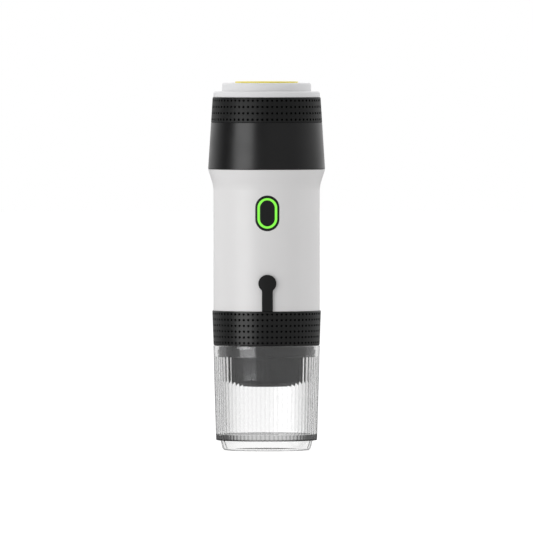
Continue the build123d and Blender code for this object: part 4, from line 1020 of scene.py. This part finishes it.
class MAKER_OT_plug(bpy.types.Operator):
    """Model the charging port's soft plug, its strap and its peg"""
    bl_idname = "maker.plug"
    bl_label = "Charging plug"

    def execute(self, context):
        front = context.scene.espresso_front
        height = front.plug_height
        head_thick, strap_thick, stand_off = 1.5 * MM, 1.2 * MM, 0.25 * MM
        strap_foot_round, head_round, peg_round = 0.55 * MM, 0.28 * MM, 0.4 * MM
        back = context.scene.espresso_housing.body + stand_off
        peg, peg_end = 2.45 * MM, back - 2.0 * MM
        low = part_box("port_plug")[0].z
        middle = (0, -strap_thick / 2, (low + height) / 2)
        strap = add_primitive(bpy.ops.mesh.primitive_cube_add, "plug_strap", size=1.0, place=middle)
        bpy.ops.transform.resize(value=(front.strap, strap_thick, height - low), center_override=middle)
        # The strap widens in hollow rounds, each a few level steps, where it runs into the head
        neck_steps = 4
        across = front.strap / 2 + front.neck
        drop = math.sqrt((front.plug + front.neck) ** 2 - across ** 2)
        tangent = drop * front.plug / (front.plug + front.neck)
        levels = [drop + (tangent - drop) * step / neck_steps for step in range(neck_steps + 1)]
        for level in levels:
            select_whole()
            bpy.ops.mesh.bisect(plane_co=(0, 0, height - level), plane_no=(0, 0, 1))
        for level in levels[1:]:
            half = across - math.sqrt(front.neck ** 2 - (drop - level) ** 2)
            pick(lambda v: near(v.co.z, height - level))
            bpy.ops.transform.resize(value=(half / (front.strap / 2), 1, 1), center_override=(0, 0, 0))
        pick(lambda e: all(near(v.co.z, low) for v in e.verts) and near(*(v.co.y for v in e.verts)), "EDGE")
        round_edges(strap_foot_round, 5)
        plug = add_primitive(
            bpy.ops.mesh.primitive_cylinder_add, "charging_plug", place=(0, -head_thick / 2, height),
            turn=(QUARTER_TURN, 0, 0), radius=front.plug, depth=head_thick, vertices=64)
        combine(plug, strap, "UNION")
        apply_modifier(
            plug, "BEVEL", width=head_round, segments=4, limit_method="ANGLE", angle_limit=math.radians(40))
        bpy.ops.object.mode_set(mode="EDIT")
        cuts = 10
        for cut in range(1, cuts):
            select_whole()
            bpy.ops.mesh.bisect(plane_co=((2 * cut / cuts - 1) * front.plug, 0, 0), plane_no=(1, 0, 0))
        wrap_front(plug, back)
        peg_start = back + head_thick / 2
        pin = add_primitive(
            bpy.ops.mesh.primitive_cylinder_add, "plug_peg", place=(0, -(peg_end + peg_start) / 2, height),
            turn=(QUARTER_TURN, 0, 0), radius=peg, depth=peg_start - peg_end, vertices=48)
        pick(lambda e: all(near(v.co.y, -peg_end) for v in e.verts), "EDGE")
        round_edges(peg_round, 3)
        combine(plug, pin, "UNION")
        finish_piece(plug, "plug", "silicone", "port_plug", angle=35)
        return {"FINISHED"}


def light_world(scene):
    """White air: an even fill for the surfaces, and dark sides for whatever mirrors it."""
    world = bpy.data.worlds.new("studio_air")
    scene.world = world
    world.use_nodes = True
    tree = world.node_tree
    tree.nodes.clear()
    bounced, spread, passed, behind = ray_tests(tree)
    way = add_node(tree, "ShaderNodeTexCoord").outputs["Generated"]
    way = add_node(tree, "ShaderNodeSeparateXYZ", {"Vector": way}).outputs
    # What mirrors show: dark to the left, dim to the right and in front, white behind the maker
    side = mapped(tree, way["X"], -0.6, 0.2, 0.02, 0.42, interpolation_type="SMOOTHSTEP")
    turning = mapped(tree, way["X"], -0.6, 0.2, 0.1, -0.4)
    mirrored = mapped(tree, way["Y"], turning, 0.7, side, 1.0)
    # What lights the surfaces: an even fill, stronger from behind, so that the sides turn paler
    across = mapped(tree, way["Y"], 0.0, 0.8, 0.3, 1.5, interpolation_type="SMOOTHSTEP")
    fill = reckoned(tree, "MULTIPLY", across, mapped(tree, way["Z"], 0.0, 0.8, 0.65, 1.6))
    # Light that turned round in the cup's own plastic stays bright; what was mirrored behind it doesn't
    within = blended(tree, behind, 1.0, reckoned(tree, "MULTIPLY", mirrored, 0.6))
    seen = blended(tree, bounced, 1.0, blended(tree, passed, mirrored, within))
    air = add_node(tree, "ShaderNodeBackground", {
        "Color": (1, 1, 1, 1), "Strength": blended(tree, spread, seen, fill),
    }).outputs[0]
    add_node(tree, "ShaderNodeOutputWorld", {"Surface": air})


class MAKER_OT_stage(bpy.types.Operator):
    """Set the pale floor, the soft lights and the camera"""
    bl_idname = "maker.stage"
    bl_label = "Studio stage"

    def execute(self, context):
        scene = context.scene
        scene.view_settings.view_transform = "Standard"
        bpy.ops.object.select_all(action="DESELECT")
        floor_radius, floor_drop = 9.0, 0.2 * MM
        bpy.ops.mesh.primitive_circle_add(
            radius=floor_radius, vertices=96, fill_type="NGON", location=(0, 0, -floor_drop))
        floor = bpy.context.active_object
        floor.name = "studio_floor"
        bpy.ops.object.transform_apply(location=True)
        floor.data.materials.append(floor_finish())
        light_world(scene)
        # Lamps: one tall softbox to the left, which shows in mirrors, one to the right and one above
        for name, place, aim, size, power in (
            ("softbox_left", (-0.652, -0.587, 0.14), (0, 0, 0.12), (0.62, 0.85), 5.4),
            ("softbox_right", (1.2, -0.12, 0.25), (0, 0, 0.12), (0.6, 0.8), 4.8),
            ("softbox_top", (-0.1, -0.1, 1.0), (0, 0, 0.1), (0.8, 0.8), 1.5),
        ):
            bpy.ops.object.light_add(type="AREA", location=place)
            lamp = bpy.context.active_object
            lamp.name = name
            lamp.data.shape = "RECTANGLE"
            lamp.data.size, lamp.data.size_y = size
            lamp.data.energy = power
            lamp.visible_camera = False
            lamp.visible_transmission = lamp.visible_glossy = name == "softbox_left"
            lamp.rotation_euler = (Vector(aim) - Vector(place)).to_track_quat("-Z", "Y").to_euler()
        # Camera, far away behind a long lens, a little left of the front and a little above the middle
        azimuth, elevation, distance = math.radians(-0.8), math.radians(1.2), 7.0
        centre = Vector((0, 0, 0.1124))
        picture_width, shift = 533, -0.1
        back = Vector((
            math.sin(azimuth) * math.cos(elevation), -math.cos(azimuth) * math.cos(elevation),
            math.sin(elevation)))
        bpy.ops.object.camera_add(location=centre + back * distance)
        camera = bpy.context.active_object
        camera.name = "studio_camera"
        camera.rotation_euler = (-back).to_track_quat("-Z", "Y").to_euler()
        camera.data.sensor_width = 36.0
        camera.data.lens = 771.0
        camera.data.shift_x = shift / picture_width
        camera.data.clip_end = 60.0
        scene.camera = camera
        return {"FINISHED"}


STEPS = (
    MAKER_OT_finishes, MAKER_OT_stage, MAKER_OT_cup, MAKER_OT_grips, MAKER_OT_body, MAKER_OT_shell,
    MAKER_OT_lid, MAKER_OT_outlet, MAKER_OT_button, MAKER_OT_plug,
)


class VIEW3D_PT_espresso(bpy.types.Panel):
    """The maker's sizes, colours and steps"""
    bl_idname = "VIEW3D_PT_espresso"
    bl_label = "Portable espresso maker"
    bl_space_type = "VIEW_3D"
    bl_region_type = "UI"
    bl_category = "Espresso"

    def draw(self, context):
        for group, kind in SIZE_GROUPS.items():
            box = self.layout.box()
            box.label(text=kind.__doc__)
            for name in kind.__annotations__:
                box.prop(getattr(context.scene, group), name)
        for step in STEPS:
            self.layout.operator(step.bl_idname)


def register():
    for kind in (*SIZE_GROUPS.values(), *STEPS, VIEW3D_PT_espresso):
        bpy.utils.register_class(kind)
    for group, kind in SIZE_GROUPS.items():
        setattr(bpy.types.Scene, group, PointerProperty(type=kind))


def unregister():
    for group in SIZE_GROUPS:
        delattr(bpy.types.Scene, group)
    for kind in (VIEW3D_PT_espresso, *reversed(STEPS), *reversed(SIZE_GROUPS.values())):
        bpy.utils.unregister_class(kind)


def main():
    """Registers the add-on and takes its steps in order."""
    register()
    bpy.ops.maker.finishes()
    bpy.ops.maker.stage()
    bpy.ops.maker.cup()
    bpy.ops.maker.grips()
    bpy.ops.maker.body()
    bpy.ops.maker.shell()
    bpy.ops.maker.lid()
    bpy.ops.maker.outlet()
    bpy.ops.maker.button()
    bpy.ops.maker.plug()


if __name__ == "__main__":
    main()
